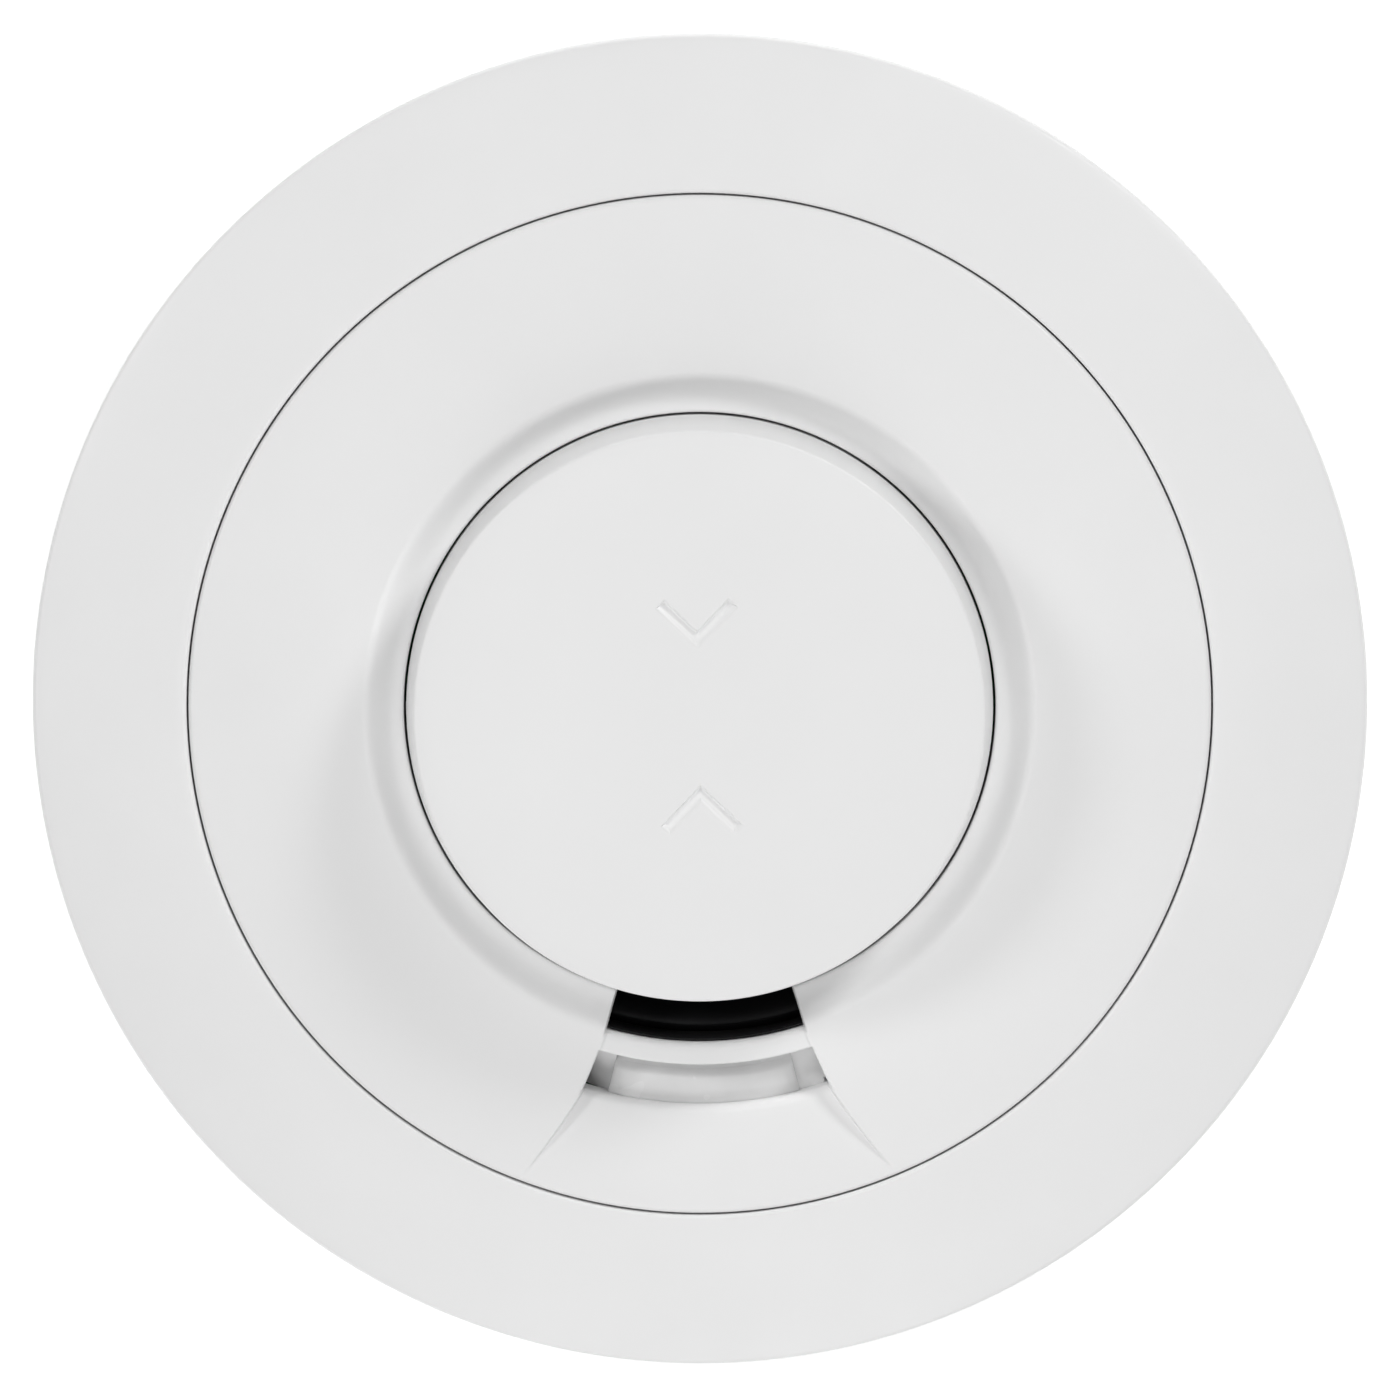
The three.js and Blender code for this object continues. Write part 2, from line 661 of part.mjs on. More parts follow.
function insectScreen() {
  const thickness = 0.4;
  const inner = CHAMBER_R - thickness;
  const bottom = BOARD_TOP_Z + CHAMBER_FLOOR + 2 * GAP;
  const top = CHAMBER_TOP_Z - CHAMBER_LID - GAP;
  const profile = [
    [inner, bottom],
    [CHAMBER_R, bottom],
    [CHAMBER_R, top],
    [inner, top],
  ];
  return turned(profile, MIDDLE);
}

// A bent blade that lets air through but no light.
function vane(angle) {
  const thickness = 1;
  const middleR = 20.4;
  const reach = 2.8; // of each half of the blade, inwards and outwards
  const low = -1.6;
  const high = low + reach;
  const shape = new THREE.Shape();
  shape.moveTo(middleR - reach, low);
  shape.lineTo(middleR, high);
  shape.lineTo(middleR + reach, low);
  shape.lineTo(middleR + reach, low + thickness);
  shape.lineTo(middleR, high + thickness);
  shape.lineTo(middleR - reach, low + thickness);
  shape.closePath();
  const foot = BOARD_TOP_Z + CHAMBER_FLOOR + GAP + 0.5;
  return raised(shape, foot, CHAMBER_TOP_Z - CHAMBER_LID / 2).rotate([0, 0, angle]);
}

// The lid of the smoke chamber, with the ring of blades that hangs from it.
function labyrinth() {
  const lidR = CHAMBER_R - 0.7;
  const lid = turned(
    [
      [0, CHAMBER_TOP_Z - CHAMBER_LID],
      [lidR, CHAMBER_TOP_Z - CHAMBER_LID],
      [lidR, CHAMBER_TOP_Z],
      [0, CHAMBER_TOP_Z],
    ],
    MIDDLE,
  );
  const angles = steps(0, 360, VANE_COUNT).slice(0, VANE_COUNT);
  return join(lid, ...angles.map(vane));
}

const OPTIC_ANGLES = { ir_emitter: 205, photodiode: 345 };
const OPTIC_AXIS_Z = 14.6;
const OPTIC_R = 2.4;

// The body of a light source or receiver, lying on a radius and looking at the middle.
function opticBody(angle, r, length, startR) {
  const geometry = new THREE.CylinderGeometry(r, r, length, SMALL);
  geometry.rotateZ(Math.PI / 2).translate(startR + length / 2, 0, OPTIC_AXIS_Z);
  geometry.rotateZ(radians(angle));
  return solid(geometry);
}

// The block that holds one of them, bored through from end to end.
function opticHolder(angle) {
  const size = [7, 7.4, 7.6];
  const middleR = 12.6;
  const [x, y] = polar(middleR, angle);
  const housing = block(size, x, y, BOARD_TOP_Z + CHAMBER_FLOOR, angle);
  const boreLength = size[0] + 2 * PAST;
  const bore = opticBody(angle, OPTIC_R + GAP, boreLength, middleR - boreLength / 2);
  return cut(housing, bore);
}

function chamberBase() {
  const bottom = BOARD_TOP_Z + GAP;
  const top = bottom + CHAMBER_FLOOR;
  const disc = turned(
    [
      [0, bottom],
      [CHAMBER_R, bottom],
      [CHAMBER_R, top],
      [0, top],
    ],
    MIDDLE,
  );
  return join(disc, ...Object.values(OPTIC_ANGLES).map(opticHolder));
}

// The black duct that leads from the smoke port in the face to the chamber.
function inletDuct() {
  const inner = CHAMBER_R + 0.6;
  const outer = PORT_OUTER_R - GAP;
  const half = PORT_HALF_ANGLE - 0.6;
  const cheekHalf = 1;
  const bottom = 12;
  const wall = 1.2;
  const wallTop = DISH_UNDERSIDE_Z + 0.6;
  const cheekTop = COLLAR_FOOT_Z + 4.2;
  const floor = sector(inner, outer, CHANNEL_ANGLE, half, bottom, bottom + wall);
  const backWall = sector(outer - wall, outer, CHANNEL_ANGLE, half, bottom, wallTop);
  const cheeks = [cheekHalf - half, half - cheekHalf].map((offset) =>
    sector(inner, outer, CHANNEL_ANGLE + offset, cheekHalf, bottom, cheekTop, 1),
  );
  return join(floor, backWall, ...cheeks);
}

// ---------------------------------------------------------------------------- sounder

const SOUNDER_WALL = 1.1;
const SOUNDER_TOP_Z = SOUNDER_Z + 7.2;
const PIEZO_Z = SOUNDER_Z + 4.4;
const LEAD_ANGLES = [145, 155];

// The cup that holds the piezo disc on a shoulder, with two notches for its leads.
function sounderHousing() {
  const floorTop = SOUNDER_Z + 1.2;
  const top = SOUNDER_TOP_Z;
  const shoulderZ = PIEZO_Z - GAP;
  const shoulderR = SOUNDER_R - 2.4;
  const cup = turned(
    [
      [0, SOUNDER_Z],
      [SOUNDER_R, SOUNDER_Z],
      [SOUNDER_R, top],
      [SOUNDER_R - SOUNDER_WALL, top],
      [SOUNDER_R - SOUNDER_WALL, shoulderZ],
      [shoulderR, shoulderZ],
      [shoulderR, floorTop],
      [0, floorTop],
    ],
    MIDDLE,
  );
  const notchSize = [5, 1.8, 5];
  const notches = LEAD_ANGLES.map((angle) => {
    const [x, y] = polar(SOUNDER_R - 1, angle);
    return block(notchSize, x, y, SOUNDER_Z - 0.5, angle);
  });
  return cut(cup, ...notches);
}

// The brass disc that vibrates, with the thinner ceramic disc on it.
function piezoDisc() {
  const discR = SOUNDER_R - SOUNDER_WALL - GAP;
  const ceramicR = 11;
  const brassTop = PIEZO_Z + 0.3;
  const ceramicTop = brassTop + 0.3;
  const profile = [
    [0, PIEZO_Z],
    [discR, PIEZO_Z],
    [discR, brassTop],
    [ceramicR, brassTop],
    [ceramicR, ceramicTop],
    [0, ceramicTop],
  ];
  return turned(profile, MIDDLE);
}

function sounderLid() {
  const bottom = SOUNDER_TOP_Z + GAP;
  const top = bottom + 1.2;
  const soundHoleR = 4;
  const profile = [
    [soundHoleR, bottom],
    [SOUNDER_R, bottom],
    [SOUNDER_R, top],
    [soundHoleR, top],
  ];
  return turned(profile, MIDDLE);
}

// A wire from the board, up beside the chamber and in under the piezo disc.
function sounderLead(angle) {
  const route = [
    [CHAMBER_R + 0.95, BOARD_TOP_Z + GAP],
    [CHAMBER_R + 0.95, 21],
    [CHAMBER_R + 0.6, 22.5],
    [CHAMBER_R - 0.6, 23.1],
    [SOUNDER_R + 1, 23.2],
    [SOUNDER_R - 1.5, 24],
    [SOUNDER_R - 3.2, PIEZO_Z - 0.5],
  ];
  const points = route.map(([r, z]) => new THREE.Vector3(...polar(r, angle), z));
  const path = new THREE.CatmullRomCurve3(points, false, "centripetal");
  const leadR = 0.42;
  const section = new THREE.Shape().absarc(0, 0, leadR, 0, 2 * Math.PI, false);
  const options = { extrudePath: path, steps: 14, curveSegments: 3, bevelEnabled: false };
  return solid(new THREE.ExtrudeGeometry(section, options));
}

// -------------------------------------------------------------------------- electronics

function circuitBoard() {
  const cutAngle = Math.asin(BOARD_CUT_Y / BOARD_R);
  const outline = new THREE.Shape();
  outline.absarc(0, 0, BOARD_R, Math.PI - cutAngle, 2 * Math.PI + cutAngle, false);
  outline.closePath();
  const board = raised(outline, BOARD_Z, BOARD_TOP_Z, 28);
  const low = BOARD_Z - 1;
  const high = BOARD_TOP_Z + 1;
  const bossHoles = SCREW_ANGLES.map((angle) =>
    rod(BOSS_R + 0.4, low, high, ...polar(SCREW_CIRCLE_R, angle)),
  );
  const screwHoles = BOARD_SCREW_ANGLES.map((angle) =>
    rod(BOARD_SCREW_SHANK_R + GAP, low, high, ...polar(BOARD_SCREW_CIRCLE_R, angle)),
  );
  const pinHole = rod(PIN_R + 0.4, low, high, ...polar(PIN_CIRCLE_R, PIN_ANGLE));
  return cut(board, ...bossHoles, ...screwHoles, pinHole);
}

// A round part that stands on the board.
function standingPart(r, height, angle, circleR) {
  const bottom = BOARD_TOP_Z + GAP;
  return rod(r, bottom, bottom + height, ...polar(circleR, angle), 16);
}

function microcontroller() {
  const size = [8, 8, 1.2];
  const place = polar(38, 225);
  return block(size, ...place, BOARD_TOP_Z + GAP, 45);
}

function statusLed() {
  const [lensR, collarR] = [1.5, 1.9];
  const [height, collarHeight] = [3, 0.8];
  const bottom = BOARD_TOP_Z + GAP;
  const lens = rod(lensR, bottom, bottom + height, 0, STATUS_LED_Y);
  const collar = rod(collarR, bottom, bottom + collarHeight, 0, STATUS_LED_Y);
  return join(lens, collar);
}

// The clear bar in the face's recess, with a stem that reaches down to the status LED.
function lightGuide() {
  const [inner, outer] = [RECESS_INNER_R + GAP, RECESS_OUTER_R - GAP];
  const bottom = GUIDE_TOP_Z - 2.6;
  const bar = sector(inner, outer, GUIDE_ANGLE, GUIDE_HALF_ANGLE, bottom, GUIDE_TOP_Z);
  const stemFoot = 13.6;
  const stemSize = [6, 2.6, bottom - stemFoot + SINK];
  const stem = block(stemSize, 0, STATUS_LED_Y, stemFoot);
  return join(bar, stem);
}

// The body of a push switch, with a bore for its plunger that opens at one end.
function switchBody(size, angle, circleR, boreR, boreFrom, boreTo) {
  const [x, y] = polar(circleR, angle);
  const bottom = BOARD_TOP_Z + GAP;
  return cut(block(size, x, y, bottom, angle), rod(boreR, boreFrom, boreTo, x, y));
}

function testSwitch() {
  const size = [6, 6, 3.8];
  const boreR = PLUNGER_R + 0.25;
  const [from, to] = [PLUNGER_FOOT_Z - 1.1, ARM_FOOT_Z + PAST];
  return switchBody(size, SWITCH_ANGLE, SWITCH_CIRCLE_R, boreR, from, to);
}

function switchPlunger() {
  const [x, y] = polar(SWITCH_CIRCLE_R, SWITCH_ANGLE);
  return rod(PLUNGER_R, PLUNGER_FOOT_Z, ARM_FOOT_Z - GAP, x, y);
}

function powerSwitch() {
  const size = [7, 6, 4.4];
  const boreR = PIN_R + GAP;
  const [from, to] = [BOARD_Z - PAST, PIN_TOP_Z + 2 * GAP];
  return switchBody(size, PIN_ANGLE, PIN_CIRCLE_R, boreR, from, to);
}

// The pin that feels the mounting base. The base holds it in while the head is locked.
function powerPin() {
  const [x, y] = polar(PIN_CIRCLE_R, PIN_ANGLE);
  const shank = rod(PIN_R, BASE_THICKNESS + GAP, PIN_TOP_Z, x, y);
  const collarTop = BOARD_Z - 0.4;
  const collar = rod(PIN_R + 0.8, collarTop - 0.7, collarTop, x, y);
  return join(shank, collar);
}

function lithiumCell() {
  const half = CELL_LENGTH / 2;
  const capR = 3.2; // the raised pole
  const shoulder = half - 1;
  const edge = 0.4;
  const profile = [
    [0, -half],
    [CELL_R - edge, -half],
    [CELL_R, -half + edge],
    [CELL_R, shoulder - 0.6],
    [CELL_R - 0.6, shoulder],
    [capR, shoulder],
    [capR, half],
    [0, half],
  ];
  const upright = turned(profile, 24);
  return upright.rotate([0, 90, 0]).translate([0, CELL_Y, CELL_Z]);
}

// A strip that stands on edge from a pole of the cell to the board.
function cellTab(side) {
  const thickness = 0.4;
  const [stripSize, stripY] = [[thickness, 14, 6], 35];
  const [footSize, footY] = [[3.4, 2.4, thickness], 29.2];
  const x = side * (CELL_LENGTH / 2 + GAP + thickness / 2);
  const footX = x + side * (footSize[0] / 2 - 0.1);
  const bottom = BOARD_TOP_Z + GAP;
  return join(block(stripSize, x, stripY, bottom), block(footSize, footX, footY, bottom));
}

// ------------------------------------------------------------------ screws and springs

// The straight slot in a screw's head.
function driveSlot(headR, x, y, z0, angle) {
  return block([1.3 * headR, 0.8, 1], x, y, z0, angle);
}

function housingScrew(angle) {
  const [x, y] = polar(SCREW_CIRCLE_R, angle);
  const headZ = FLOOR_Z + GAP;
  const headTop = SCREW_HEAD_SEAT_Z - GAP;
  const head = rod(SCREW_HEAD_R, headZ, headTop, x, y);
  const shank = rod(SCREW_SHANK_R, headTop - SINK, SCREW_TIP_Z, x, y);
  return cut(join(head, shank), driveSlot(SCREW_HEAD_R, x, y, headZ - 0.5, angle));
}

function boardScrew(angle) {
  const [x, y] = polar(BOARD_SCREW_CIRCLE_R, angle);
  const headZ = BOARD_TOP_Z + GAP;
  const headTop = headZ + 1.4;
  const tipZ = FLOOR_Z + FLOOR_THICKNESS + 0.8;
  const head = rod(BOARD_SCREW_HEAD_R, headZ, headTop, x, y);
  const shank = rod(BOARD_SCREW_SHANK_R, tipZ, headZ + SINK, x, y);
  return cut(join(head, shank), driveSlot(BOARD_SCREW_HEAD_R, x, y, headTop - 0.5, angle));
}

// The envelope of a coil spring that pushes the button up.
function returnSpring(angle) {
  const [x, y] = polar(SPRING_CIRCLE_R, angle);
  const bottom = CHAMBER_TOP_Z + GAP;
  const top = BUTTON_CEILING_Z - GAP;
  const bore = rod(SPRING_INNER_R, bottom - PAST, top + PAST, x, y);
  return cut(rod(SPRING_OUTER_R, bottom, top, x, y), bore);
}

// --------------------------------------------------------------------------- assembly

const alarm = new THREE.Group();
const head = new THREE.Group(); // all that twists off the mounting base
const button = new THREE.Group(); // all that moves with the test button
const feeler = new THREE.Group(); // the pin that feels whether the base is there
alarm.add(head);
head.add(button, feeler);

piece(alarm, "mounting_base", mountingBase(), whitePlastic.clone());

piece(head, "rear_housing", rearHousing(), whitePlastic.clone());
piece(head, "trim_ring", trimRing(), whitePlastic.clone());
piece(head, "front_cover", frontCover(), whitePlastic.clone());
piece(head, "light_guide", lightGuide(), milkyPlastic.clone());
piece(head, "inlet_duct", inletDuct(), blackPlastic.clone());
piece(head, "labyrinth", labyrinth(), blackPlastic.clone());
piece(head, "chamber_base", chamberBase(), blackPlastic.clone());
piece(head, "insect_screen", insectScreen(), screenMetal.clone());
for (const [name, angle] of Object.entries(OPTIC_ANGLES)) {
  piece(head, name, opticBody(angle, OPTIC_R, 6, 9.4), chipBlack.clone());
}
piece(head, "sounder_housing", sounderHousing(), blackPlastic.clone());
piece(head, "piezo_disc", piezoDisc(), brass.clone());
piece(head, "sounder_lid", sounderLid(), blackPlastic.clone());
LEAD_ANGLES.forEach((angle, i) => {
  piece(head, `sounder_lead_${i + 1}`, sounderLead(angle), leadRed.clone());
});

piece(head, "circuit_board", circuitBoard(), boardLaminate.clone());
piece(head, "microcontroller", microcontroller(), chipBlack.clone());
piece(head, "capacitor_1", standingPart(4, 10, 320, 39), capacitorSleeve.clone());
piece(head, "capacitor_2", standingPart(3.2, 7, 336, 40), capacitorSleeve.clone());
piece(head, "sounder_coil", standingPart(4.5, 6, 15, 38), chipBlack.clone());
piece(head, "status_led", statusLed(), milkyPlastic.clone());
piece(head, "test_switch", testSwitch(), chipBlack.clone());
piece(head, "power_switch", powerSwitch(), chipBlack.clone());
piece(head, "lithium_cell", lithiumCell(), cellSleeve.clone());
piece(head, "cell_tab_positive", cellTab(1), nickel.clone());
piece(head, "cell_tab_negative", cellTab(-1), nickel.clone());

SCREW_ANGLES.forEach((angle, i) => {
  piece(head, `housing_screw_${i + 1}`, housingScrew(angle), steel.clone());
});
BOARD_SCREW_ANGLES.forEach((angle, i) => {
  piece(head, `board_screw_${i + 1}`, boardScrew(angle), steel.clone());
});
SPRING_ANGLES.forEach((angle, i) => {
  piece(head, `return_spring_${i + 1}`, returnSpring(angle), steel.clone());
});
piece(feeler, "power_pin", powerPin(), milkyPlastic.clone());

piece(button, "test_button", testButton(), whitePlastic.clone());
piece(button, "switch_plunger", switchPlunger(), blackPlastic.clone());

export default alarm;
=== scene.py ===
"""Looks of a round white smoke alarm that lies on its back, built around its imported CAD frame.

Metres, +Z up out of the alarm's face, -Y towards the smoke port. Each visible piece is a mesh
made here, in the place and size of its CAD node. A shape is a pair: vertices in millimetres,
and faces as lists of vertex numbers.
"""

import cmath
import json
import math

import bmesh
import bpy
import numpy as np
from mathutils import Matrix, Vector


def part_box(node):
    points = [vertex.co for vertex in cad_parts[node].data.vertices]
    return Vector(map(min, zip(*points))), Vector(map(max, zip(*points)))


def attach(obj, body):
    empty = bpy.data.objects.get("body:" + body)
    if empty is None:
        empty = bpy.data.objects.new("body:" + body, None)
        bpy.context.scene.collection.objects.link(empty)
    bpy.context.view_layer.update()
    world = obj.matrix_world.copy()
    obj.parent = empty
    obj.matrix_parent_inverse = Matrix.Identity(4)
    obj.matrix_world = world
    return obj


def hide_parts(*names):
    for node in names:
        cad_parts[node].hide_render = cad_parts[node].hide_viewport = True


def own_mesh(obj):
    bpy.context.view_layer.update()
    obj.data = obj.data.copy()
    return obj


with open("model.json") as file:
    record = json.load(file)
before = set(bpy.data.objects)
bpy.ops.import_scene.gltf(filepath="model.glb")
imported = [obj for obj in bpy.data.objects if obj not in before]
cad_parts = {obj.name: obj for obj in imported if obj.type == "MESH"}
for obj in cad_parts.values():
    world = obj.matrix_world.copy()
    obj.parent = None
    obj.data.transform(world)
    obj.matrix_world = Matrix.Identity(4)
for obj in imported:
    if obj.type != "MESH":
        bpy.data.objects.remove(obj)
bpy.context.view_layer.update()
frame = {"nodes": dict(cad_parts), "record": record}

MM = 0.001


def node_box(node):
    """Lowest and highest corners of a CAD node in millimetres."""
    return [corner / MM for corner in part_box(node)]


# --- driving dimensions, in millimetres and degrees

ring_low, ring_high = node_box("trim_ring")

RING_R = ring_high.x
RING_FOOT_Z = ring_low.z
RING_EDGE_Z = 20.0
RING_SLOPE = 0.2  # slope with which the trim ring leaves the seam
SEAM_R = 49.8
SEAM_GAP = 0.19
SEAM_Z = 24.0
SEAM_WALL = 1.65  # thickness of the walls on both sides of the seam
SEAM_EDGE = 0.35  # edge radius on both sides of the seam
FACE_SLOPE = 0.228  # the face is a cone that rises inwards
COVER_R = SEAM_R - SEAM_GAP / 2
SKIN = 1.8  # thickness of the outer mouldings

COLLAR_R = 28.75
COLLAR_OUTER_R = 30.4
COLLAR_LIP_Z = 26.0
COLLAR_FOOT_Z = 17.0
LIP_ROUND = 0.3
DISH_EDGE_R = 32.9  # where the dip round the button meets the cone
DISH_UNDERSIDE_Z = 24.2

BUTTON_R = 28.5
BUTTON_TOP_R = 27.75
BUTTON_TOP_Z = node_box("test_button")[1].z
BUTTON_FOOT_Z = 22.6
BUTTON_CEILING_Z = 33.6

CHANNEL_ANGLE = -90.4  # direction of the smoke port, the recess and the ramp
PORT_OUTER_R = 32.6
RECESS_INNER_R = 34.8
RECESS_OUTER_R = 39.0
RECESS_FLOOR_Z = 21.6
RAMP_DEPTH = 1.1
RIM_STEP = 0.12  # the rim between port and recess lies this far under the face
RIM_R = 49.2  # where the ramp runs out into the face
SIDE_RADII = [PORT_OUTER_R, RECESS_INNER_R, RECESS_OUTER_R, RIM_R]
SIDE_ANGLES = [17.1, 17.3, 17.9, 21.7]  # half-angle of the channel at those radii
SIDE = SIDE_ANGLES[0]  # the grid line that follows the channel's side
EASE = 22.0  # degrees over which the grid lines come back to plain radii
STEP_WIDTH = 0.26  # width of the step down to the ramp
SIDE_ROUND = 0.22  # edge radii along the channel's sides, the port, the rim and the ramp
PORT_ROUND = 1.0
RIM_ROUND = 0.18
RAMP_ROUND = 0.9

GUIDE_ANGLE = -0.4  # middle of the light guide, counted from the channel's middle
GUIDE_HALF_ANGLE = 13.9
GUIDE_LOW = GUIDE_ANGLE - GUIDE_HALF_ANGLE
GUIDE_HIGH = GUIDE_ANGLE + GUIDE_HALF_ANGLE
GUIDE_TOP_Z = 23.8
GUIDE_LEDGE_DROP = 1.0  # depth of the ledge along its inner side

HOUSING_FLOOR_Z = 3.0
HOUSING_SKIN = 1.6
HOUSING_INSIDE_Z = HOUSING_FLOOR_Z + HOUSING_SKIN
BAYONET_ANGLES = (90, 210, 330)
BASE_R = node_box("mounting_base")[1].x
BASE_THICKNESS = 2.4
SCREW_ANGLES = (35, 145, 270)
STANDOFF_ANGLES = (170, 350)
CELL_Y = 38.8
CELL_Z = 13.3

BOARD_TOP_Z = 9.0
PART_FOOT_Z = BOARD_TOP_Z + 0.3
COIL_SPOT = (38.0, 15)  # radius and angle of the parts on the board
CAPACITOR_SPOTS = ((39.0, 320), (40.0, 336))
LED_SPOT = (36.8, 270)
SWITCH_SPOT = (28.2, 30)
CHIP_SPOT = (38.0, 225)
PIN_SPOT = (38.0, 200)

TURN_STEPS = 256  # facets round a large visible circle
SHARP_ANGLE = 30.0  # a smooth surface breaks where its faces meet at more than this


# --- materials


def grey(level):
    """A neutral colour."""
    return (level, level, level)


class Finish:
    """A node material in the making. Its textures lie in object space, in metres."""

    def __init__(self, name, inputs=()):
        self.material = bpy.data.materials.new(name)
        self.material.use_nodes = True
        self.tree = self.material.node_tree
        self.tree.nodes.clear()
        self.shader = self.node("BsdfPrincipled", inputs)
        self.node("OutputMaterial", {"Surface": self.shader.outputs["BSDF"]})

    def node(self, kind, inputs=()):
        made = self.tree.nodes.new("ShaderNode" + kind)
        self.fill(made, inputs)
        return made

    def fill(self, node, inputs):
        """Sets inputs of a node, each to a value or to another node's output."""
        for name in inputs:
            if isinstance(inputs[name], bpy.types.NodeSocket):
                self.tree.links.new(inputs[name], node.inputs[name])
            else:
                node.inputs[name].default_value = inputs[name]

    def noise(self, scale, detail=2.0, stretch=None):
        """A noise texture; scale is in waves per metre."""
        place = self.node("TexCoord").outputs["Object"]
        if stretch:
            place = self.node("Mapping", {"Vector": place, "Scale": stretch}).outputs["Vector"]
        inputs = {"Vector": place, "Scale": scale, "Detail": detail}
        return self.node("TexNoise", inputs).outputs["Fac"]

    def between(self, noise, low, high):
        """A number that runs from low to high as a noise runs through its usual range."""
        inputs = {"Value": noise, "From Min": 0.35, "From Max": 0.65, "To Min": low, "To Max": high}
        return self.node("MapRange", inputs).outputs["Result"]

    def colour(self, noise, first, second):
        """Base colour that runs from first to second with a noise."""
        mix = self.node("Mix")
        mix.data_type = "RGBA"
        factor = self.between(noise, 0.0, 1.0)
        self.fill(mix, {"A": (*first, 1), "B": (*second, 1), "Factor": factor})
        self.fill(self.shader, {"Base Color": mix.outputs["Result"]})

    def roughness(self, noise, low, high):
        self.fill(self.shader, {"Roughness": self.between(noise, low, high)})

    def bump(self, noise, depth, strength):
        """Bump of a real depth in metres."""
        bump = self.node("Bump", {"Distance": depth, "Strength": strength, "Height": noise})
        self.fill(self.shader, {"Normal": bump.outputs["Normal"]})


def moulded_plastic(name, colour, shade, roughness, grain=2600.0, depth=0.000012, specular=0.5):
    """Moulded plastic: a fine spark-eroded grain, and colour and gloss that drift a little."""
    finish = Finish(name, {"Specular IOR Level": specular})
    finish.colour(finish.noise(45.0, 3.0), shade, colour)
    finish.roughness(finish.noise(160.0, 4.0), roughness - 0.05, roughness + 0.05)
    finish.bump(finish.noise(grain, 3.0), depth, 0.35)
    return finish.material


def milky_plastic(name):
    """Light-guiding plastic: smooth, glossy and cloudy."""
    finish = Finish(name)
    cloud = finish.noise(220.0)
    finish.colour(cloud, grey(0.765), grey(0.815))
    finish.roughness(cloud, 0.2, 0.3)
    finish.bump(finish.noise(700.0), 0.00001, 0.3)
    return finish.material


def brushed_metal(name, colour, shade, roughness, stretch=(60.0, 60.0, 1600.0)):
    """Drawn or plated metal with fine lines along one direction."""
    finish = Finish(name, {"Metallic": 1.0})
    lines = finish.noise(1.0, 4.0, stretch)
    finish.colour(lines, shade, colour)
    finish.roughness(lines, roughness - 0.08, roughness + 0.1)
    finish.bump(lines, 0.00001, 0.4)
    return finish.material


def laminate(name):
    """Green solder mask on glass-fibre laminate: the weave shows faintly through the gloss."""
    finish = Finish(name)
    weave = finish.noise(1.0, 1.0, (900.0, 900.0, 200.0))
    finish.colour(weave, (0.012, 0.11, 0.04), (0.022, 0.17, 0.062))
    finish.roughness(finish.noise(90.0, 3.0), 0.28, 0.4)
    finish.bump(weave, 0.00001, 0.4)
    return finish.material


MATERIALS = {
    "white_face": moulded_plastic("face_plastic", grey(0.862), grey(0.848), 0.42),
    "white_housing": moulded_plastic("housing_plastic", grey(0.83), grey(0.81), 0.48),
    "milky_plastic": milky_plastic("light_guide_plastic"),
    "black_plastic": moulded_plastic("black_plastic", (0.015, 0.015, 0.016),
                                     (0.009, 0.009, 0.01), 0.6, 1800.0, 0.00002, 0.2),
    "screen_metal": brushed_metal("screen_wire", (0.16, 0.16, 0.165), (0.07, 0.07, 0.075), 0.45),
    "component_black": moulded_plastic("component_body", (0.03, 0.03, 0.034),
                                       (0.02, 0.02, 0.022), 0.5, 3200.0),
    "brass_disc": brushed_metal("rolled_brass", (0.82, 0.64, 0.31), (0.68, 0.5, 0.22), 0.32,
                                (1300.0, 60.0, 60.0)),
    "wire_insulation": moulded_plastic("red_insulation", (0.5, 0.045, 0.035),
                                       (0.42, 0.035, 0.03), 0.42, 1500.0),
    "board_laminate": laminate("green_laminate"),
    "cell_sleeve": moulded_plastic("shrunk_sleeve", (0.055, 0.13, 0.3), (0.04, 0.1, 0.25), 0.3,
                                   900.0, 0.00003),
    "steel_parts": brushed_metal("nickel_plate", (0.72, 0.72, 0.7), (0.56, 0.56, 0.55), 0.3),
}


def paint(obj, slot):
    """Gives an object its slot's material in place of whatever it came with."""
    obj.data.materials.clear()
    obj.data.materials.append(MATERIALS[slot])


# --- pieces


def closed_mesh(name, shape):
    """A mesh from a shape, with its faces turned outwards."""
    vertices, faces = shape
    mesh = bpy.data.meshes.new(name)
    mesh.from_pydata([tuple(MM * float(c) for c in v) for v in vertices], [], faces)
    bm = bmesh.new()
    bm.from_mesh(mesh)
    bmesh.ops.remove_doubles(bm, verts=bm.verts, dist=1e-7)
    bmesh.ops.recalc_face_normals(bm, faces=bm.faces)
    bm.to_mesh(mesh)
    bm.free()
    return mesh


def add_object(name, mesh):
    obj = bpy.data.objects.new(name, mesh)
    bpy.context.scene.collection.objects.link(obj)
    return obj


def smooth(mesh, angle=SHARP_ANGLE):
    mesh.shade_smooth()
    mesh.set_sharp_from_angle(angle=math.radians(angle))


def add_piece(name, slot, mesh, replaced, body="head"):
    """A painted piece that rides on a body and stands for the CAD nodes named."""
    piece = add_object(name, mesh)
    paint(piece, slot)
    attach(piece, body)
    if replaced:
        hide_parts(*replaced)
    return piece


def new_piece(name, slot, shape, *replaced, body="head"):
    """A smooth painted piece from a shape."""
    mesh = closed_mesh(name, shape)
    smooth(mesh)
    return add_piece(name, slot, mesh, replaced, body)


